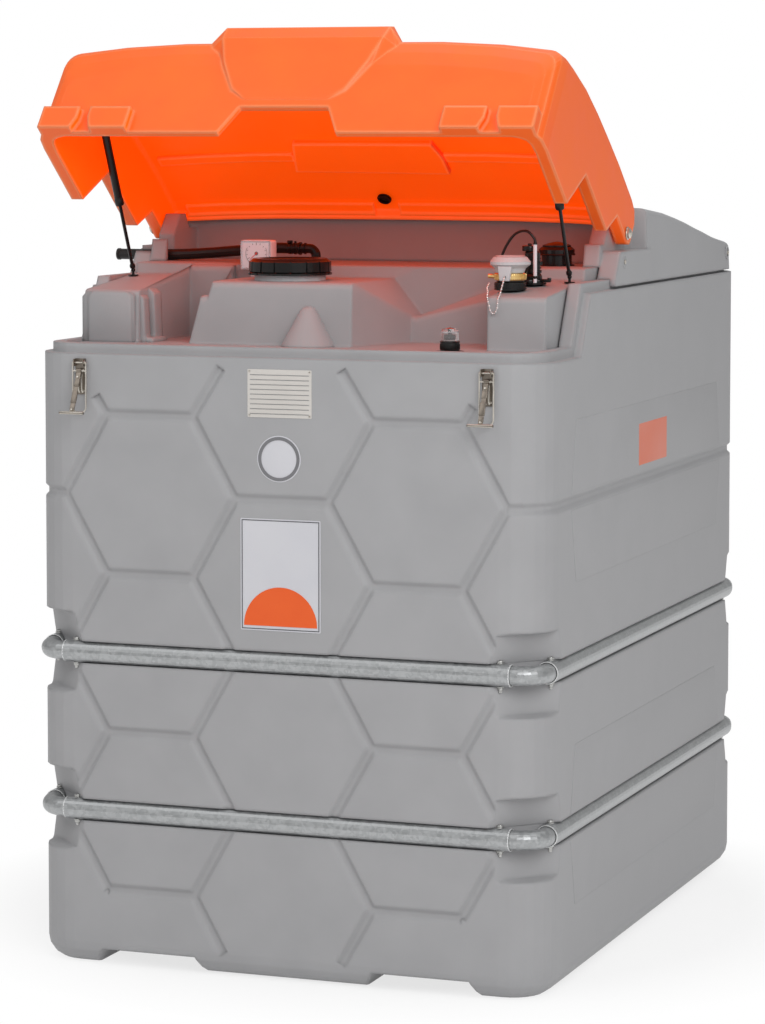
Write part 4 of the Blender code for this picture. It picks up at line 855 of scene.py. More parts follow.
@dataclass
class RingTrim:
    """Bolts through the ends of the straight tubes, the tubes' cut mouths, and a black ring inside each mouth that is
    painted shadow.

    Each row of the bolt is a height off the tube's skin, above or below,
    then a radius, a thickness, a number of sides and a rounding.
    """

    inset: float = 0.024
    tube_radius: float = 0.0242
    bend_radius: float = 0.0209
    wall: float = 0.0021
    bolt: Tuple[Tuple[float, float, float, int, float], ...] = (
        (0.0008, 0.0085, 0.0022, 20, 0.0005), (0.0042, 0.0074, 0.0052, 16, 0.0020),
        (-0.0008, 0.0085, 0.0022, 20, 0.0005), (-0.0046, 0.0066, 0.0056, 6, 0.0006),
        (-0.0100, 0.0042, 0.0070, 12, 0.0006))

    def build(self) -> None:
        """Make the bolts, the tube mouths and their painted shadow rings, for both rings."""
        skin, inner = self.tube_radius, self.tube_radius - self.wall
        for word in ("lower", "upper"):
            bolts, rims, painted_gap_shadows = Shape(), Shape(), Shape()
            for name, axis in (("front", 0), ("rear", 0), ("left", 1), ("right", 1)):
                spot = Spot("rail_%s_%s" % (word, name))
                for way, end in ((1, spot.low), (-1, spot.high)):
                    mouth = spot.middle.copy()
                    mouth[axis] = end[axis]
                    seat = at(mouth) @ Matrix.Rotation(axis * math.pi / 2, 4, "Z") @ Matrix.Diagonal((way, 1, 1, 1))
                    rims.turned(seat @ ALONG["X"], square(inner, skin - 0.0001, -0.0014, 0.0010), 40)
                    # Painted shadow: a black ring between the bend and the tube's inner wall stands in for the shade in
                    # that gap.
                    painted_gap_shadows.turned(seat @ ALONG["X"], square(self.bend_radius, inner, -0.0005, 0.0010), 40)
                    mouth[axis] += way * self.inset
                    for off, radius, tall, sides, bevel in self.bolt:
                        lift = Vector((0, 0, math.copysign(skin, off) + off))
                        bolts.disc(at(mouth + lift), radius, tall, sides, bevel)
            bolts.finish("ring_bolts_%s" % word, BOLT_ZINC)
            rims.finish("ring_rims_%s" % word, CUT_ZINC)
            # The painted shadow rings take the black rubber finish.
            painted_gap_shadows.finish("ring_painted_shadows_%s" % word, BLACK_RUBBER)


@dataclass
class SideRelief:
    """Faint long hexagons moulded into both side walls, parted at the groove and the tube.

    Each level is the height of a hexagon's middle, half its height, and
    half the gap that parts it.
    """

    rise: float = 0.0009
    front: float = FRONT_Y + 0.185
    rear: float = FRONT_Y + 1.415
    cut: float = 0.038
    levels: Tuple[Point, ...] = ((1.042, 0.174, 0.017), (0.344, 0.174, 0.027))

    def build(self) -> None:
        """Make the relief of both sides."""
        for side, word in SIDES:
            shape = Shape()
            walls = sorted((side * (SIDE_X - 0.0010), side * (SIDE_X + self.rise)))
            for middle, half, gap in self.levels:
                near = self.cut * gap / half
                for way in (-1, 1):
                    outline = [(self.front + near, middle + way * gap), (self.rear - near, middle + way * gap),
                               (self.rear - self.cut, middle + way * half),
                               (self.front + self.cut, middle + way * half)]
                    shape.prism(outline, "X", *walls, 0.0007)
            shape.finish("side_relief_%s" % word, GREY_TRIM)


@dataclass
class FrontBay:
    """Gusset on the mound, and ribs and low plates on the left block.

    Each rib is its y, top, width and depth, and each plate its two sides and
    its front.
    """

    gusset: Point = (-0.004, -0.6245)
    gusset_foot: float = 0.062
    gusset_head: float = 0.013
    floor_z: float = 1.361
    apex_z: float = 1.449
    rib_x: float = -0.4065
    sink: float = 0.004
    ribs: Tuple[Point, ...] = ((-0.604, 1.468, 0.032, 0.008), (-0.556, 1.482, 0.042, 0.014))
    plates: Tuple[Point, ...] = ((-0.542, -0.413, -0.6322), (-0.526, -0.421, -0.6345))
    plate_back: float = -0.628
    plate_tops: Point = (1.466, 1.4745, 1.462)

    def build(self) -> None:
        """Make the gusset, the ribs and the plates."""
        floor, back = self.floor_z, self.rib_x - self.sink
        height = self.apex_z - floor
        shape = Shape()
        shape.disc(at((*self.gusset, floor + height / 2)), self.gusset_foot, height, 40, 0.0, self.gusset_head)
        rims = [e for e in pick_edges(shape.mesh, 2, True) if e.verts[0].co.z > floor + 0.01]
        round_edges(shape.mesh, rims, 0.010, 4)
        shape.finish("mound_gusset", GREY_SHELL, smooth=60.0)
        for y, top, width, deep in self.ribs:
            outline = [(back, floor), (self.rib_x + deep + 0.004, floor), (self.rib_x + deep, top - deep),
                       (self.rib_x - 0.001, top), (back, top)]
            shape.prism(outline, "Y", y - width / 2, y + width / 2, 0.004, 3)
        right_top, head, left_top = self.plate_tops
        for low, high, front in self.plates:
            outline = [(low, floor), (high, floor), (high - 0.002, right_top), (high - 0.012, head),
                       (low + 0.012, head), (low, left_top)]
            shape.prism(outline, "Y", front, self.plate_back, 0.0018)
        outline = [(back, floor), (self.rib_x + 0.030, floor), (self.rib_x + 0.027, floor + 0.010),
                   (back, floor + 0.014)]
        shape.prism(outline, "Y", self.ribs[0][0] - 0.012, self.ribs[-1][0] + 0.018, 0.003, 3)
        shape.finish("left_block_ribs", GREY_SHELL, smooth=50.0)


@dataclass
class CoverScrews:
    """Oval bosses with a pan-head screw, near both ends of the rear cover's sides."""

    places: Profile = ((-0.207, 1.538), (0.690, 1.527))
    half_length: float = 0.0125
    half_height: float = 0.0160
    face_x: float = 0.5862
    head_x: float = 0.5877
    boss: Profile = ((1.00, -0.002), (1.00, 0.0008), (0.94, 0.0013), (0.86, 0.0013), (0.80, 0.0006), (0.78, -0.002))
    slots: Tuple[Point, ...] = ((0.0006, 0.0062, 0.0012), (0.0006, 0.0012, 0.0062))

    def build(self) -> None:
        """Make the bosses and the screws of both sides."""
        for side, word in SIDES:
            bosses, screws = Shape(), Shape()
            stretch = Matrix.Diagonal((side, self.half_length, self.half_height, 1.0)) @ ALONG["X"]
            for y, z in self.places:
                bosses.turned(at((side * self.face_x, y, z)) @ stretch, self.boss, 40, closed=False)
                screws.disc(at((side * self.head_x, y, z), "X"), 0.0052, 0.0032, 20, 0.0010)
                for size in self.slots:
                    screws.block(at((side * (self.head_x + 0.0016), y, z)), size, 0.0002)
            bosses.finish("cover_bosses_%s" % word, GREY_TRIM)
            screws.finish("cover_screws_%s" % word, PLATED)


@dataclass
class CapDetail:
    """Grip lugs round the screw cap, its rim and its raised crown."""

    lugs: int = 16
    spokes: int = 6
    grip_depth: float = 0.006
    crown: Profile = ((-0.031, -0.0062), (-0.031, -0.0035), (-0.034, -0.0028), (-0.037, -0.0035), (-0.037, -0.0062))

    def build(self) -> None:
        """Make the lugs, the crown ring and its spokes."""
        spot = Spot("screw_cap")
        foot, skirt, tall = spot.foot(), spot.radius, spot.size.z
        inner = skirt - self.grip_depth
        grip = ((inner, 0.0075), (skirt + 0.0006, 0.0075), (skirt - 0.0002, tall - 0.007), (inner, tall - 0.004))
        tooth = ((inner, 0.0), (skirt + 0.0018, 0.0), (skirt + 0.0018, 0.0042), (inner, 0.0062))
        share = 2 * math.pi / self.lugs
        shape = Shape()
        for lug in range(self.lugs):
            shape.sector(foot, grip, share * (lug + 0.06), share * 0.88, 4)
            shape.sector(foot, tooth, share * (lug + 0.02), share * 0.62, 3)
        shape.turned(spot.foot(tall), self.crown, 64, skirt)
        shape.around(spot.foot(tall - 0.0050), skirt * 0.34, self.spokes, (skirt * 0.42, 0.004, 0.003), 0.0010)
        shape.finish("screw_cap_lugs", BLACK_GLOSS)


@dataclass
class GaugeDetail:
    """Rounded housing of the level gauge, with its dial and pointer."""

    ticks: int = 11
    long_tick: float = 0.0055
    short_tick: float = 0.0032
    sweep: float = 240.0
    pointer_angle: float = 222.0
    depth: float = 0.036

    def build(self) -> None:
        """Make the housing that stands for the plain block, then its face."""
        spot = Spot("level_gauge")
        left, front, foot = spot.low
        right, _, head = spot.high
        tall = spot.size.x * 0.90
        under = head - tall
        neck = under - foot
        shape = Shape()
        shape.panel((left, right, under, head), "Y", front + 0.001, front + self.depth, 0.006, 0.0012)
        shape.disc(spot.foot(neck / 2), 0.0085, neck + 0.002)
        shape.disc(spot.foot(0.0040), 0.0140, 0.0080, 6, 0.0010)
        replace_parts(shape.finish("gauge_housing", WHITE), "level_gauge")
        rim = (left + 0.001, right - 0.001, under + 0.001, head - 0.001)
        shape.frame(rim, 0.0035, front - 0.0004, front + 0.002)
        shape.finish("gauge_bezel", CLEAR_RIM)
        self._face(at((spot.middle.x + 0.002, front, under + tall * 0.55)), spot.size.x * 0.33)

    def _face(self, hub: Matrix, radius: float) -> None:
        """Make the scale and the pointer.

        Args:
            hub: seat of the dial's middle.
            radius: the dial's radius.
        """
        marks, pointer = Shape(), Shape()
        for tick in range(self.ticks):
            turn = Matrix.Rotation(math.radians(30 - self.sweep * tick / (self.ticks - 1)), 4, "Y")
            long = self.short_tick if tick % 5 else self.long_tick
            marks.block(hub @ turn @ at((radius - long / 2, 0.0006, 0.0)), (long, 0.0006, 0.0010))
        marks.sector(hub @ at((0.0, 0.0006, 0.0), "Y"), square(radius + 0.0010, radius + 0.0017, -0.0003, 0.0003),
                     math.radians(30 - self.sweep), math.radians(self.sweep), 40)
        marks.disc(hub @ at((0.0, 0.0004, 0.0), "Y"), 0.0044, 0.0010, 20, 0.0002)
        marks.finish("gauge_scale", SHEET_GREY)
        long = radius * 0.92
        turn = Matrix.Rotation(math.radians(-self.pointer_angle), 4, "Y")
        pointer.block(hub @ turn @ at((long * 0.42, 0.0002, 0.0)), (long, 0.0008, 0.0016), 0.0002)
        pointer.disc(hub @ at((0.0, -0.0002, 0.0), "Y"), 0.0024, 0.0018, 20, 0.0005)
        pointer.finish("gauge_pointer", POINTER_RED)


@dataclass
class HoseDetail:
    """Band clamp and ridges where the hose meets its bend, and the lip at its far end.

    Each ridge is its shift along the hose, its height off it and its width.
    """

    hose_radius: float = 0.0125
    hose_end_y: float = -0.225
    ridges: Tuple[Point, ...] = ((-0.020, 0.0010, 0.008), (-0.008, 0.0016, 0.004), (0.004, 0.0022, 0.005),
                                 (0.016, 0.0006, 0.004))
    lip: Profile = ((0.0090, 0.0), (0.0131, 0.0), (0.0136, 0.001), (0.0136, 0.006), (0.0126, 0.008), (0.0090, 0.008))

    def build(self) -> None:
        """Make the clamp and the lip."""
        spot = Spot("hose_bend")
        x, y, z = spot.low.x, spot.middle.y, spot.high.z - 0.011
        top = z + self.hose_radius
        shape = Shape()
        for shift, rise, width in self.ridges:
            shape.disc(at((x + shift, y, z), "X"), self.hose_radius + rise, width, 32, 0.0006)
        shape.block(at((x - 0.020, y - 0.004, top + 0.0030)), (0.011, 0.009, 0.006), 0.0012)
        shape.block(at((x - 0.008, y - 0.001, top + 0.0026)), (0.004, 0.006, 0.004), 0.0008)
        shape.finish("hose_clamp", BLACK_GLOSS)
        low = Spot("suction_hose").low
        shape.turned(at((low.x, self.hose_end_y, low.z + self.hose_radius), "X"), self.lip, 32)
        shape.finish("hose_end_ring", BLACK_RUBBER)


@dataclass
class FillDetail:
    """Thread on the neck, knurl on the ring, lugs on the cap, and the chain."""

    thread: Profile = ((-0.002, -0.0018), (0.0012, -0.0008), (0.0012, 0.0008), (-0.002, 0.0018))
    pitch: float = 0.0050
    ribs: int = 44
    cap_lug: Profile = ((-0.010, -0.0165), (0.012, -0.0165), (0.0165, 0.015), (-0.0145, 0.015))
    lip: Profile = ((-0.010, 0.0140), (-0.0010, 0.0168), (0.0004, 0.0180), (-0.002, 0.0196), (-0.010, 0.0196))
    top: Profile = ((-0.0150, 0.0352), (-0.0130, 0.0366), (-0.0110, 0.0352))
    block_face: float = -0.6325
    block_top: float = 1.478
    bead_step: float = 0.0046
    beads: Tuple[float, float] = (0.0018, 0.0028)

    def build(self) -> None:
        """Make the coupling's trim and its chain."""
        shape = Shape()
        self._neck(shape)
        self._cap(shape)
        self._chain(shape)

    def _neck(self, shape: Shape) -> None:
        """Make the coarse rounds of the black neck and the ribs of the brass ring.

        Args:
            shape: an empty shape.
        """
        neck = Spot("fill_neck")
        for turn in range(3):
            shape.turned(neck.foot(0.0018 + turn * self.pitch), self.thread, 48, neck.radius)
        for vert in shape.mesh.verts:
            vert.co.z += 0.0014 * math.sin(math.atan2(vert.co.y - neck.middle.y, vert.co.x - neck.middle.x))
        shape.finish("fill_neck_thread", BLACK_GLOSS)
        ring = Spot("fill_ring")
        shape.around(at(ring.middle), ring.radius, self.ribs, (0.0022, 0.0026, ring.size.z - 0.003), 0.0007)
        lever = (ring.low.x - 0.0040, ring.middle.y - 0.012, ring.middle.z + 0.001)
        shape.disc(at(lever, "X"), 0.0050, 0.0160, 20, 0.0012)
        shape.finish("fill_ring_ribs", BRASS)

    def _cap(self, shape: Shape) -> None:
        """Make the cap's front lug with its eye, and the lip under its brim.

        Args:
            shape: an empty shape.
        """
        cap = Spot("dust_cap")
        x, front, foot = cap.middle.x, cap.low.y, cap.low.z
        outline = [(x + across, foot + up) for across, up in self.cap_lug]
        shape.prism(outline, "Y", front - 0.0005, front + 0.0080, 0.0018, 3)
        for profile in (self.lip, self.top):
            shape.turned(cap.foot(), profile, 56, cap.radius)
        shape.finish("dust_cap_lug", PALE_SHELL)
        shape.disc(at((x + 0.0025, front - 0.0006, foot - 0.0080), "Y"), 0.0024, 0.0014, 16, 0.0003)
        shape.finish("dust_cap_eye", BLACK_GLOSS)

    def _chain(self, shape: Shape) -> None:
        """Make the bead chain that hangs from the lug over the block's edge.

        Args:
            shape: an empty shape.
        """
        cap = Spot("dust_cap")
        x, front, face, top = cap.middle.x, cap.low.y, self.block_face, self.block_top
        route = [(x + 0.0025, front - 0.002, cap.low.z - 0.008), (x + 0.002, front - 0.012, cap.low.z - 0.020),
                 (x + 0.002, front - 0.030, top + 0.006), (x + 0.004, face - 0.0015, top - 0.006),
                 (x + 0.003, face - 0.0015, top - 0.022), (x - 0.003, face - 0.0015, top - 0.036),
                 (x - 0.012, face - 0.0015, top - 0.032), (x - 0.017, face - 0.0015, top - 0.014),
                 (x - 0.020, face - 0.0010, top - 0.001), (x - 0.026, front - 0.030, top + 0.010),
                 (x - 0.036, front - 0.004, top + 0.016), (x - 0.0405, front + 0.022, top + 0.024)]
        places = even_points(route, self.bead_step)
        for number, place in enumerate(places):
            part = bmesh.new()
            bmesh.ops.create_icosphere(part, subdivisions=1, radius=self.beads[number % 2])
            shape.take(part, at(place))
        shape.wire(places, 0.0006)
        shape.finish("dust_cap_chain", CHAIN, smooth=60.0)


@dataclass
class SensorDetail:
    """Union nuts, ribs and side lug of the black limit sensor.

    Each round of the stem is its height, radius, thickness, sides and
    rounding.
    """

    stem: Tuple[Tuple[float, float, float, int, float], ...] = (
        (0.0065, 0.0245, 0.0080, 6, 0.0010), (0.028, 0.0200, 0.006, 28, 0.0008), (0.036, 0.0190, 0.003, 28, 0.0008),
        (0.046, 0.0205, 0.008, 28, 0.0008), (0.056, 0.0185, 0.003, 28, 0.0008))
    ribs: int = 14
    head: Point = (-0.006, -0.002)

    def build(self) -> None:
        """Make the sensor's trim and the sleeve of its lead."""
        sensor = Spot("limit_sensor")
        shape = Shape()
        for up, radius, tall, sides, bevel in self.stem:
            shape.disc(sensor.foot(up), radius, tall, sides, bevel)
        shape.around(sensor.foot(0.046), 0.0205, self.ribs, (0.002, 0.003, 0.008), 0.0006)
        shape.disc(sensor.foot(0.078, *self.head), 0.0165, 0.012, 28, 0.0016)
        shape.disc(sensor.foot(0.086, *self.head), 0.0045, 0.006, 16, 0.0012)
        shape.block(sensor.foot(0.0085, 0.030, -0.006), (0.026, 0.014, 0.007), 0.0016)
        shape.disc(sensor.foot(0.0125, 0.040, -0.006), 0.0045, 0.005, 6, 0.0006)
        shape.finish("sensor_trim", BLACK_GLOSS)
        rod = Spot("sensor_rod")
        shape.disc(rod.foot(rod.size.z - 0.001), 0.0046, 0.004, 16, 0.0008)
        shape.disc(rod.foot(0.012), 0.0050, 0.006, 16, 0.0008)
        shape.disc(rod.foot(rod.size.z + 0.004), 0.0036, 0.007, 16, 0.0012, 0.0030)
        shape.finish("sensor_rod_collars", BLACK_RUBBER)


@dataclass
class VentDetail:
    """Foot, seam and peak of the mushroom vent."""

    foot: Profile = ((-0.010, 0.0), (-0.001, 0.0), (-0.001, 0.0020), (-0.0052, 0.0034), (-0.010, 0.0034))
    seam: Profile = ((-0.003, 0.0235), (0.0004, 0.0235), (0.0012, 0.0250), (0.0004, 0.0270), (-0.003, 0.0270))
    peak: Profile = ((0.0, 0.0022), (0.008, 0.0014), (0.020, -0.0016), (0.032, -0.0062), (0.032, -0.0090),
                     (0.0, -0.0090))

    def build(self) -> None:
        """Make the foot ring, the seam and the peak."""
        vent = Spot("vent")
        shape = Shape()
        for profile in (self.foot, self.seam):
            shape.turned(vent.foot(), profile, 56, vent.radius)
        shape.turned(vent.foot(vent.size.z), self.peak, 56, closed=False)
        shape.finish("vent_trim", BLACK_GLOSS)


@dataclass
class LeakDetail:
    """Float, guide and rims of the clear leak indicator."""

    rim: Profile = ((-0.0002, -0.0016), (0.0020, -0.0012), (0.0022, 0.0010), (0.0002, 0.0018), (-0.0002, 0.0018))
    ribs: int = 24
    band: Profile = ((-0.0006, 0.0195), (0.0008, 0.0200), (0.0008, 0.0225), (-0.0006, 0.0230))

    def build(self) -> None:
        """Make the parts in and round the clear dome."""
        dome = Spot("leak_indicator_dome")
        shape = Shape()
        shape.disc(dome.foot(0.010), 0.0085, 0.012, 24, 0.0014)
        shape.disc(dome.foot(0.020), 0.0030, 0.010, 16, 0.0006)
        shape.finish("leak_float", BLACK_RUBBER)
        shape.turned(dome.foot(), self.rim, 48, dome.radius)
        shape.around(dome.foot(-0.0100), dome.radius + 0.0012, self.ribs, (0.0018, 0.0022, 0.0120), 0.0005)
        shape.finish("leak_base_trim", BLACK_GLOSS)
        shape.turned(dome.foot(), self.band, 48, dome.radius)
        shape.finish("leak_dome_band", CLEAR_RIM)


@dataclass
class HingeDetail:
    """Washers and sockets on the two hinge pins."""

    socket: Profile = ((0.0034, 0.0), (0.0056, 0.0), (0.0060, 0.0012), (0.0052, 0.0020), (0.0036, 0.0020))

    def build(self) -> None:
        """Make the trim of both pins."""
        for side, word in SIDES:
            pin = Spot("hinge_pin_%s" % word)
            end = pin.high.x if side > 0 else pin.low.x
            _, y, z = pin.middle
            shape = Shape()
            mirror = Matrix.Diagonal((side, 1.0, 1.0, 1.0))
            shape.turned(at((end - side * 0.0008, y, z)) @ mirror @ ALONG["X"], self.socket, 24)
            shape.disc(at((end - side * 0.0080, y, z), "X"), 0.0150, 0.0016, 32, 0.0005)
            shape.finish("hinge_washer_%s" % word, PLATED)


@dataclass
class StrutDetail:
    """Sleeves, sockets and clips at the ends of both gas struts."""

    foot: Point = (0.0, -0.405, 1.512)
    head: Point = (0.0, -0.582, 1.884)
    x: float = 0.520
    cylinder_length: float = 0.245
    collar: Profile = ((0.0050, -0.0010), (0.0094, -0.0010), (0.0102, 0.0030), (0.0102, 0.0130), (0.0092, 0.0150),
                       (0.0092, 0.0200), (0.0050, 0.0200))
    band: Profile = ((0.0088, -0.026), (0.0096, -0.024), (0.0096, -0.016), (0.0088, -0.014))
    eye: Profile = ((0.0040, 0.0050), (0.0062, 0.0060), (0.0066, 0.0110), (0.0056, 0.0140), (0.0042, 0.0150))

    def build(self) -> None:
        """Make the sleeves of each cylinder and the eye of each rod."""
        foot, head = Vector(self.foot), Vector(self.head)
        way = (head - foot).normalized()
        turn = way.to_track_quat("Z", "Y").to_matrix().to_4x4()
        mouth = head - way * self.cylinder_length
        for side, word in SIDES:
            shift = Vector((side * self.x, 0, 0))
            shape = Shape()
            shape.turned(at(mouth + shift) @ turn, self.collar, 28)
            shape.turned(at(head + shift) @ turn, self.band, 28)
            shape.finish("strut_sleeve_%s" % word, STRUT_BLACK, "strut_%s_upper" % word)
            shape.turned(at(foot + shift) @ turn, self.eye, 24)
            shape.finish("strut_eye_%s" % word, STRUT_BLACK, "strut_%s_lower" % word)


@dataclass
class LatchDetail:
    """Rivets, tongue and turned sleeve of the toggle latches.

    The tongue's points are steps off the wall plate and up from its foot,
    and each sleeve is its share of the way down the hook, its size and its
    rounding.
    """

    x: float = 0.466
    rivets: Profile = ((-0.007, 0.008), (0.007, 0.008), (-0.007, 0.052), (0.007, 0.052))
    tongue: Profile = ((0.002, 0.003), (0.0052, 0.008), (0.0060, 0.034), (0.0048, 0.046), (0.002, 0.050))
    sleeves: Tuple[Tuple[float, Point, float], ...] = (
        (0.30, (0.0120, 0.0034, 0.016), 0.0008), (0.62, (0.0124, 0.0042, 0.030), 0.0010),
        (0.86, (0.0112, 0.0032, 0.012), 0.0008))
    beads: Tuple[float, float] = (0.16, 0.93)

    def build(self) -> None:
        """Make the trim of both latches."""
        for side, word in SIDES:
            self._base(side * self.x, word)
            self._hook(word)

    def _base(self, x: float, word: str) -> None:
        """Add rivets, tongue and spring to the plate on the wall.

        Args:
            x: the latch's middle.
            word: left or right.
        """
        base = Spot("latch_%s_base" % word)
        wall, foot = base.high.y, base.low.z
        shape = Shape()
        for across, up in self.rivets:
            shape.disc(at((x + across, wall - 0.0024, foot + up), "Y"), 0.0026, 0.0016, 16, 0.0006)
        outline = [(wall - off, foot + up) for off, up in self.tongue]
        shape.prism(outline, "X", x - 0.0055, x - 0.0020, 0.0004)
        shape.prism(outline, "X", x + 0.0020, x + 0.0055, 0.0004)
        shape.block(at((x, wall - 0.0050, foot + 0.040)), (0.010, 0.0016, 0.008), 0.0005)
        for ear in (-1, 1):
            shape.disc(at((x + ear * 0.0128, wall - 0.0100, base.high.z - 0.008), "X"), 0.0042, 0.0016, 20, 0.0005)
        shape.finish("latch_trim_%s" % word, PLATED)

    def _hook(self, word: str) -> None:
        """Add the sleeve, its rivets and the bar's end beads to the hook.

        Args:
            word: left or right.
        """
        hook, body = Spot("latch_%s_hook" % word), "latch_%s_catch" % word
        x = hook.middle.x
        top = Vector((x, hook.high.y - 0.0045, hook.high.z - 0.0045))
        foot = Vector((x, hook.low.y + 0.0027, hook.low.z + 0.0027))
        turn = (foot - top).normalized().to_track_quat("-Z", "Y").to_matrix().to_4x4()
        shape = Shape()
        for share, size, bevel in self.sleeves:
            shape.block(at(top.lerp(foot, share)) @ turn, size, bevel)
        shape.finish("hook_sleeve_%s" % word, BRONZED, body)
        shape.disc(at((x, foot.y + 0.0009, foot.z), "X"), 0.0035, hook.size.x - 0.002, 24, 0.0010)
        for share in self.beads:
            shape.disc(at(top.lerp(foot, share)) @ turn @ ALONG["Y"], 0.0024, 0.0074, 16, 0.0006)
        shape.finish("hook_bar_%s" % word, PLATED, body)


@dataclass
class HoodRelief:
    """Raised pads and the rear ledge moulded into the hood's inner face.

    Each pad is its outline on the closed hood, across and back from the
    front, and its depth.
    """

    pads: Tuple[Tuple[Profile, float], ...] = (
        (((-0.170, 0.400), (0.165, 0.400), (0.178, 0.455), (0.178, 0.516), (-0.196, 0.510), (-0.182, 0.455)), 0.014),
        (((-0.520, 0.452), (-0.186, 0.446), (-0.180, 0.474), (-0.520, 0.482)), 0.009),
        (((0.180, 0.446), (0.500, 0.446), (0.500, 0.474), (0.182, 0.474)), 0.009),
        (((-0.515, 0.640), (-0.045, 0.640), (-0.045, 0.668), (-0.515, 0.668)), 0.005),
        (((0.015, 0.640), (0.500, 0.640), (0.500, 0.668), (0.015, 0.668)), 0.005),
    )
    bury: float = 0.003
    plug_ring: Profile = ((0.0105, 0.0), (0.0145, 0.0), (0.0150, 0.0014), (0.0135, 0.0022), (0.0108, 0.0014))

    def build(self) -> None:
        """Make the pads and the ring round the plug."""
        data = NODES["lid"].data
        ceiling = BVHTree.FromPolygons([v.co.copy() for v in data.vertices], [tuple(p.vertices) for p in data.polygons])
        up = HOOD_OPEN.to_3x3() @ Vector((0, 0, 1))
        shape = Shape()
        for outline, rise in self.pads:
            part = self._cut_grid(outline)
            for vert in part.verts:
                start = HOOD_OPEN @ Vector((vert.co.x, FRONT_Y + vert.co.y, HINGE.z))
                vert.co = (ceiling.ray_cast(start, up, 0.2)[0] or start) + up * self.bury
            shape.slab(part, -up * (rise + self.bury))
        soften(shape.finish("hood_relief", ORANGE_SHELL, HOOD, 60.0), 0.004, 40.0)
        turn = up.to_track_quat("Z", "Y").to_matrix().to_4x4()
        shape.turned(at(Spot("lid_plug").middle - up * 0.0052) @ turn, self.plug_ring, 32)
        shape.finish("lid_plug_ring", BLACK_GLOSS, HOOD)

    def _cut_grid(self, outline: Profile) -> BMesh:
        """Cut a fine flat grid to an outline.

        Args:
            outline: its corners.

        Returns:
            The grid, on the ground.
        """
        part = bmesh.new()
        xs, ys = zip(*outline)
        bmesh.ops.create_grid(part, x_segments=26, y_segments=5, size=0.5)
        bmesh.ops.scale(part, vec=(max(xs) - min(xs), max(ys) - min(ys), 1.0), verts=part.verts)
        bmesh.ops.translate(part, vec=((max(xs) + min(xs)) / 2, (max(ys) + min(ys)) / 2, 0.0), verts=part.verts)
        for first, second in zip(outline, outline[1:] + outline[:1]):
            outward = (second[1] - first[1], first[0] - second[0], 0.0)
            bmesh.ops.bisect_plane(part, geom=whole(part), dist=1e-6, plane_co=(*first, 0.0), plane_no=outward,
                                   clear_outer=True)
        return part


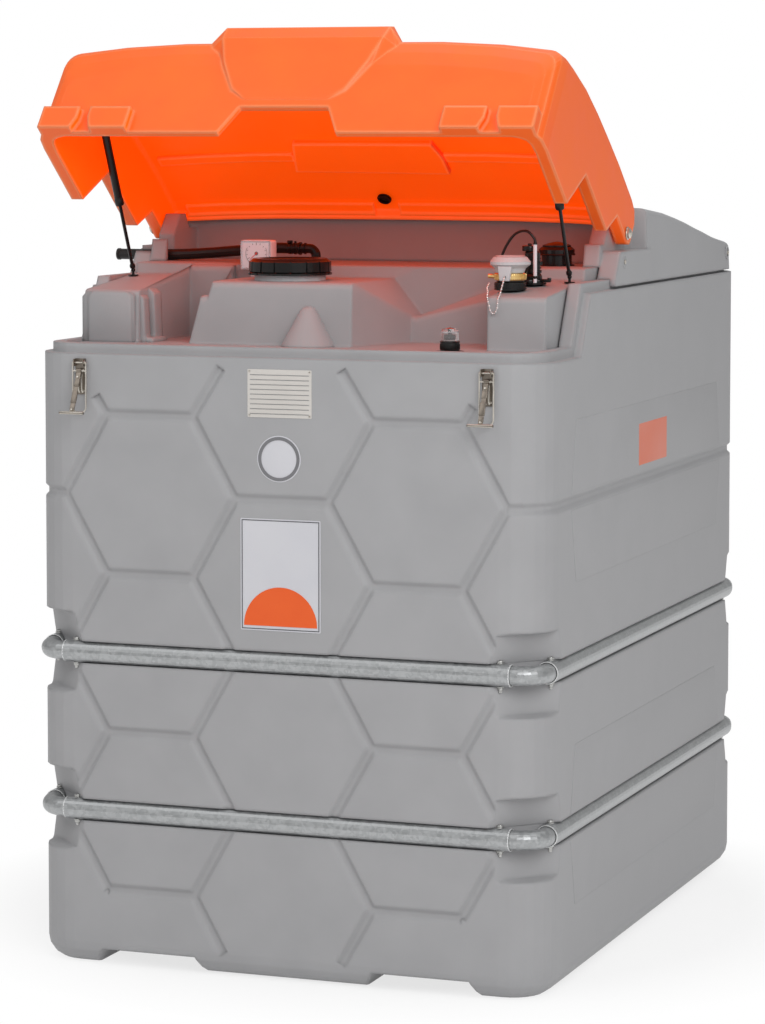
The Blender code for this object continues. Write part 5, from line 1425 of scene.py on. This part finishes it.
@dataclass
class Studio:
    """Pale floor, soft light and the camera."""

    camera_place: Point = (2.77493, -7.66890, 1.85080)
    yaw: float = 0.35456
    pitch: float = -0.07232
    lens: float = 122.75
    shift_y: float = -0.135
    floor_colour: Colour = (0.97, 0.97, 0.97)
    floor_radius: float = 30.0
    world_strength: float = 0.42
    target: Point = (0.0, 0.0, 1.0)

    def build(self) -> None:
        """Make the camera, the floor, the world and the lamps."""
        self._camera()
        self._floor()
        self._world()
        self._lamp("key_lamp", (-2.6, -3.4, 5.0), 4.0, 60.0)
        self._lamp("fill_lamp", (3.4, -4.4, 4.0), 3.4, 150.0)
        self._lamp("top_lamp", (0.3, 0.8, 5.6), 4.0, 60.0)

    def _camera(self) -> None:
        """Place the camera as the photograph saw the tank."""
        data = bpy.data.cameras.new("photo_camera")
        data.lens = self.lens
        data.sensor_width = 36.0
        data.sensor_fit = "AUTO"
        data.shift_y = self.shift_y
        camera = bpy.data.objects.new("photo_camera", data)
        camera.location = self.camera_place
        camera.rotation_euler = (math.pi / 2 + self.pitch, 0.0, self.yaw)
        bpy.context.scene.collection.objects.link(camera)
        bpy.context.scene.camera = camera

    def _floor(self) -> None:
        """Lay a wide pale floor that goes to plain white away from the tank."""
        mesh = bmesh.new()
        bmesh.ops.create_circle(mesh, cap_ends=True, segments=96, radius=self.floor_radius)
        data = bpy.data.meshes.new("floor")
        mesh.to_mesh(data)
        mesh.free()
        floor = bpy.data.objects.new("floor", data)
        bpy.context.scene.collection.objects.link(floor)
        made = bpy.data.materials.new("floor_paint")
        made.use_nodes = True
        graph, nodes = Graph(made.node_tree), made.node_tree.nodes
        nodes.remove(nodes["Principled BSDF"])
        distance = graph.add("ShaderNodeVectorMath", {0: graph.place()}, operation="LENGTH").outputs["Value"]
        away = graph.span(distance, (0.80, 1.15), (0.74, 1.0))
        share = graph.maths("MULTIPLY", away, graph.seen("Is Camera Ray", "Is Glossy Ray", "Is Transmission Ray"))
        paint = graph.add("ShaderNodeBsdfDiffuse", {"Color": (*self.floor_colour, 1.0)}).outputs[0]
        glow = graph.add("ShaderNodeEmission", {"Color": FULL_WHITE}).outputs[0]
        surface = graph.add("ShaderNodeMixShader", {0: share, 1: paint, 2: glow}).outputs[0]
        graph.feed(nodes["Material Output"].inputs["Surface"], surface)
        data.materials.append(made)

    def _world(self) -> None:
        """Light everything evenly, with white behind the tank."""
        world = bpy.data.worlds.new("studio")
        world.use_nodes = True
        bpy.context.scene.world = world
        world.node_tree.nodes.clear()
        graph = Graph(world.node_tree)
        soft, white = (graph.add("ShaderNodeBackground", {"Color": FULL_WHITE, "Strength": strength}).outputs[0]
                       for strength in (self.world_strength, 1.0))
        seen = graph.seen("Is Camera Ray", "Is Transmission Ray")
        surface = graph.add("ShaderNodeMixShader", {0: seen, 1: soft, 2: white}).outputs[0]
        graph.add("ShaderNodeOutputWorld", {"Surface": surface})

    def _lamp(self, name: str, place: Point, size: float, power: float) -> None:
        """Hang a square soft lamp that points at the tank's middle.

        Args:
            name: the lamp's name.
            place: where it hangs.
            size: its edge length.
            power: its output in watts.
        """
        data = bpy.data.lights.new(name, "AREA")
        data.size = size
        data.energy = power
        lamp = bpy.data.objects.new(name, data)
        lamp.location = place
        lamp.rotation_euler = (Vector(self.target) - Vector(place)).to_track_quat("-Z", "Y").to_euler()
        bpy.context.scene.collection.objects.link(lamp)


def main() -> None:
    """Dress the tank, add its fittings, and set light and camera."""
    logging.basicConfig(level=logging.INFO)
    bpy.context.scene.view_settings.view_transform = "Standard"
    Studio().build()
    dress_nodes()
    for assembly in (Labels(), RingTrim(), SideRelief(), FrontBay(), CoverScrews(), CapDetail(), GaugeDetail(),
                     HoseDetail(), FillDetail(), SensorDetail(), VentDetail(), LeakDetail(), HingeDetail(),
                     StrutDetail(), LatchDetail(), HoodRelief()):
        assembly.build()


if __name__ == "__main__":
    main()
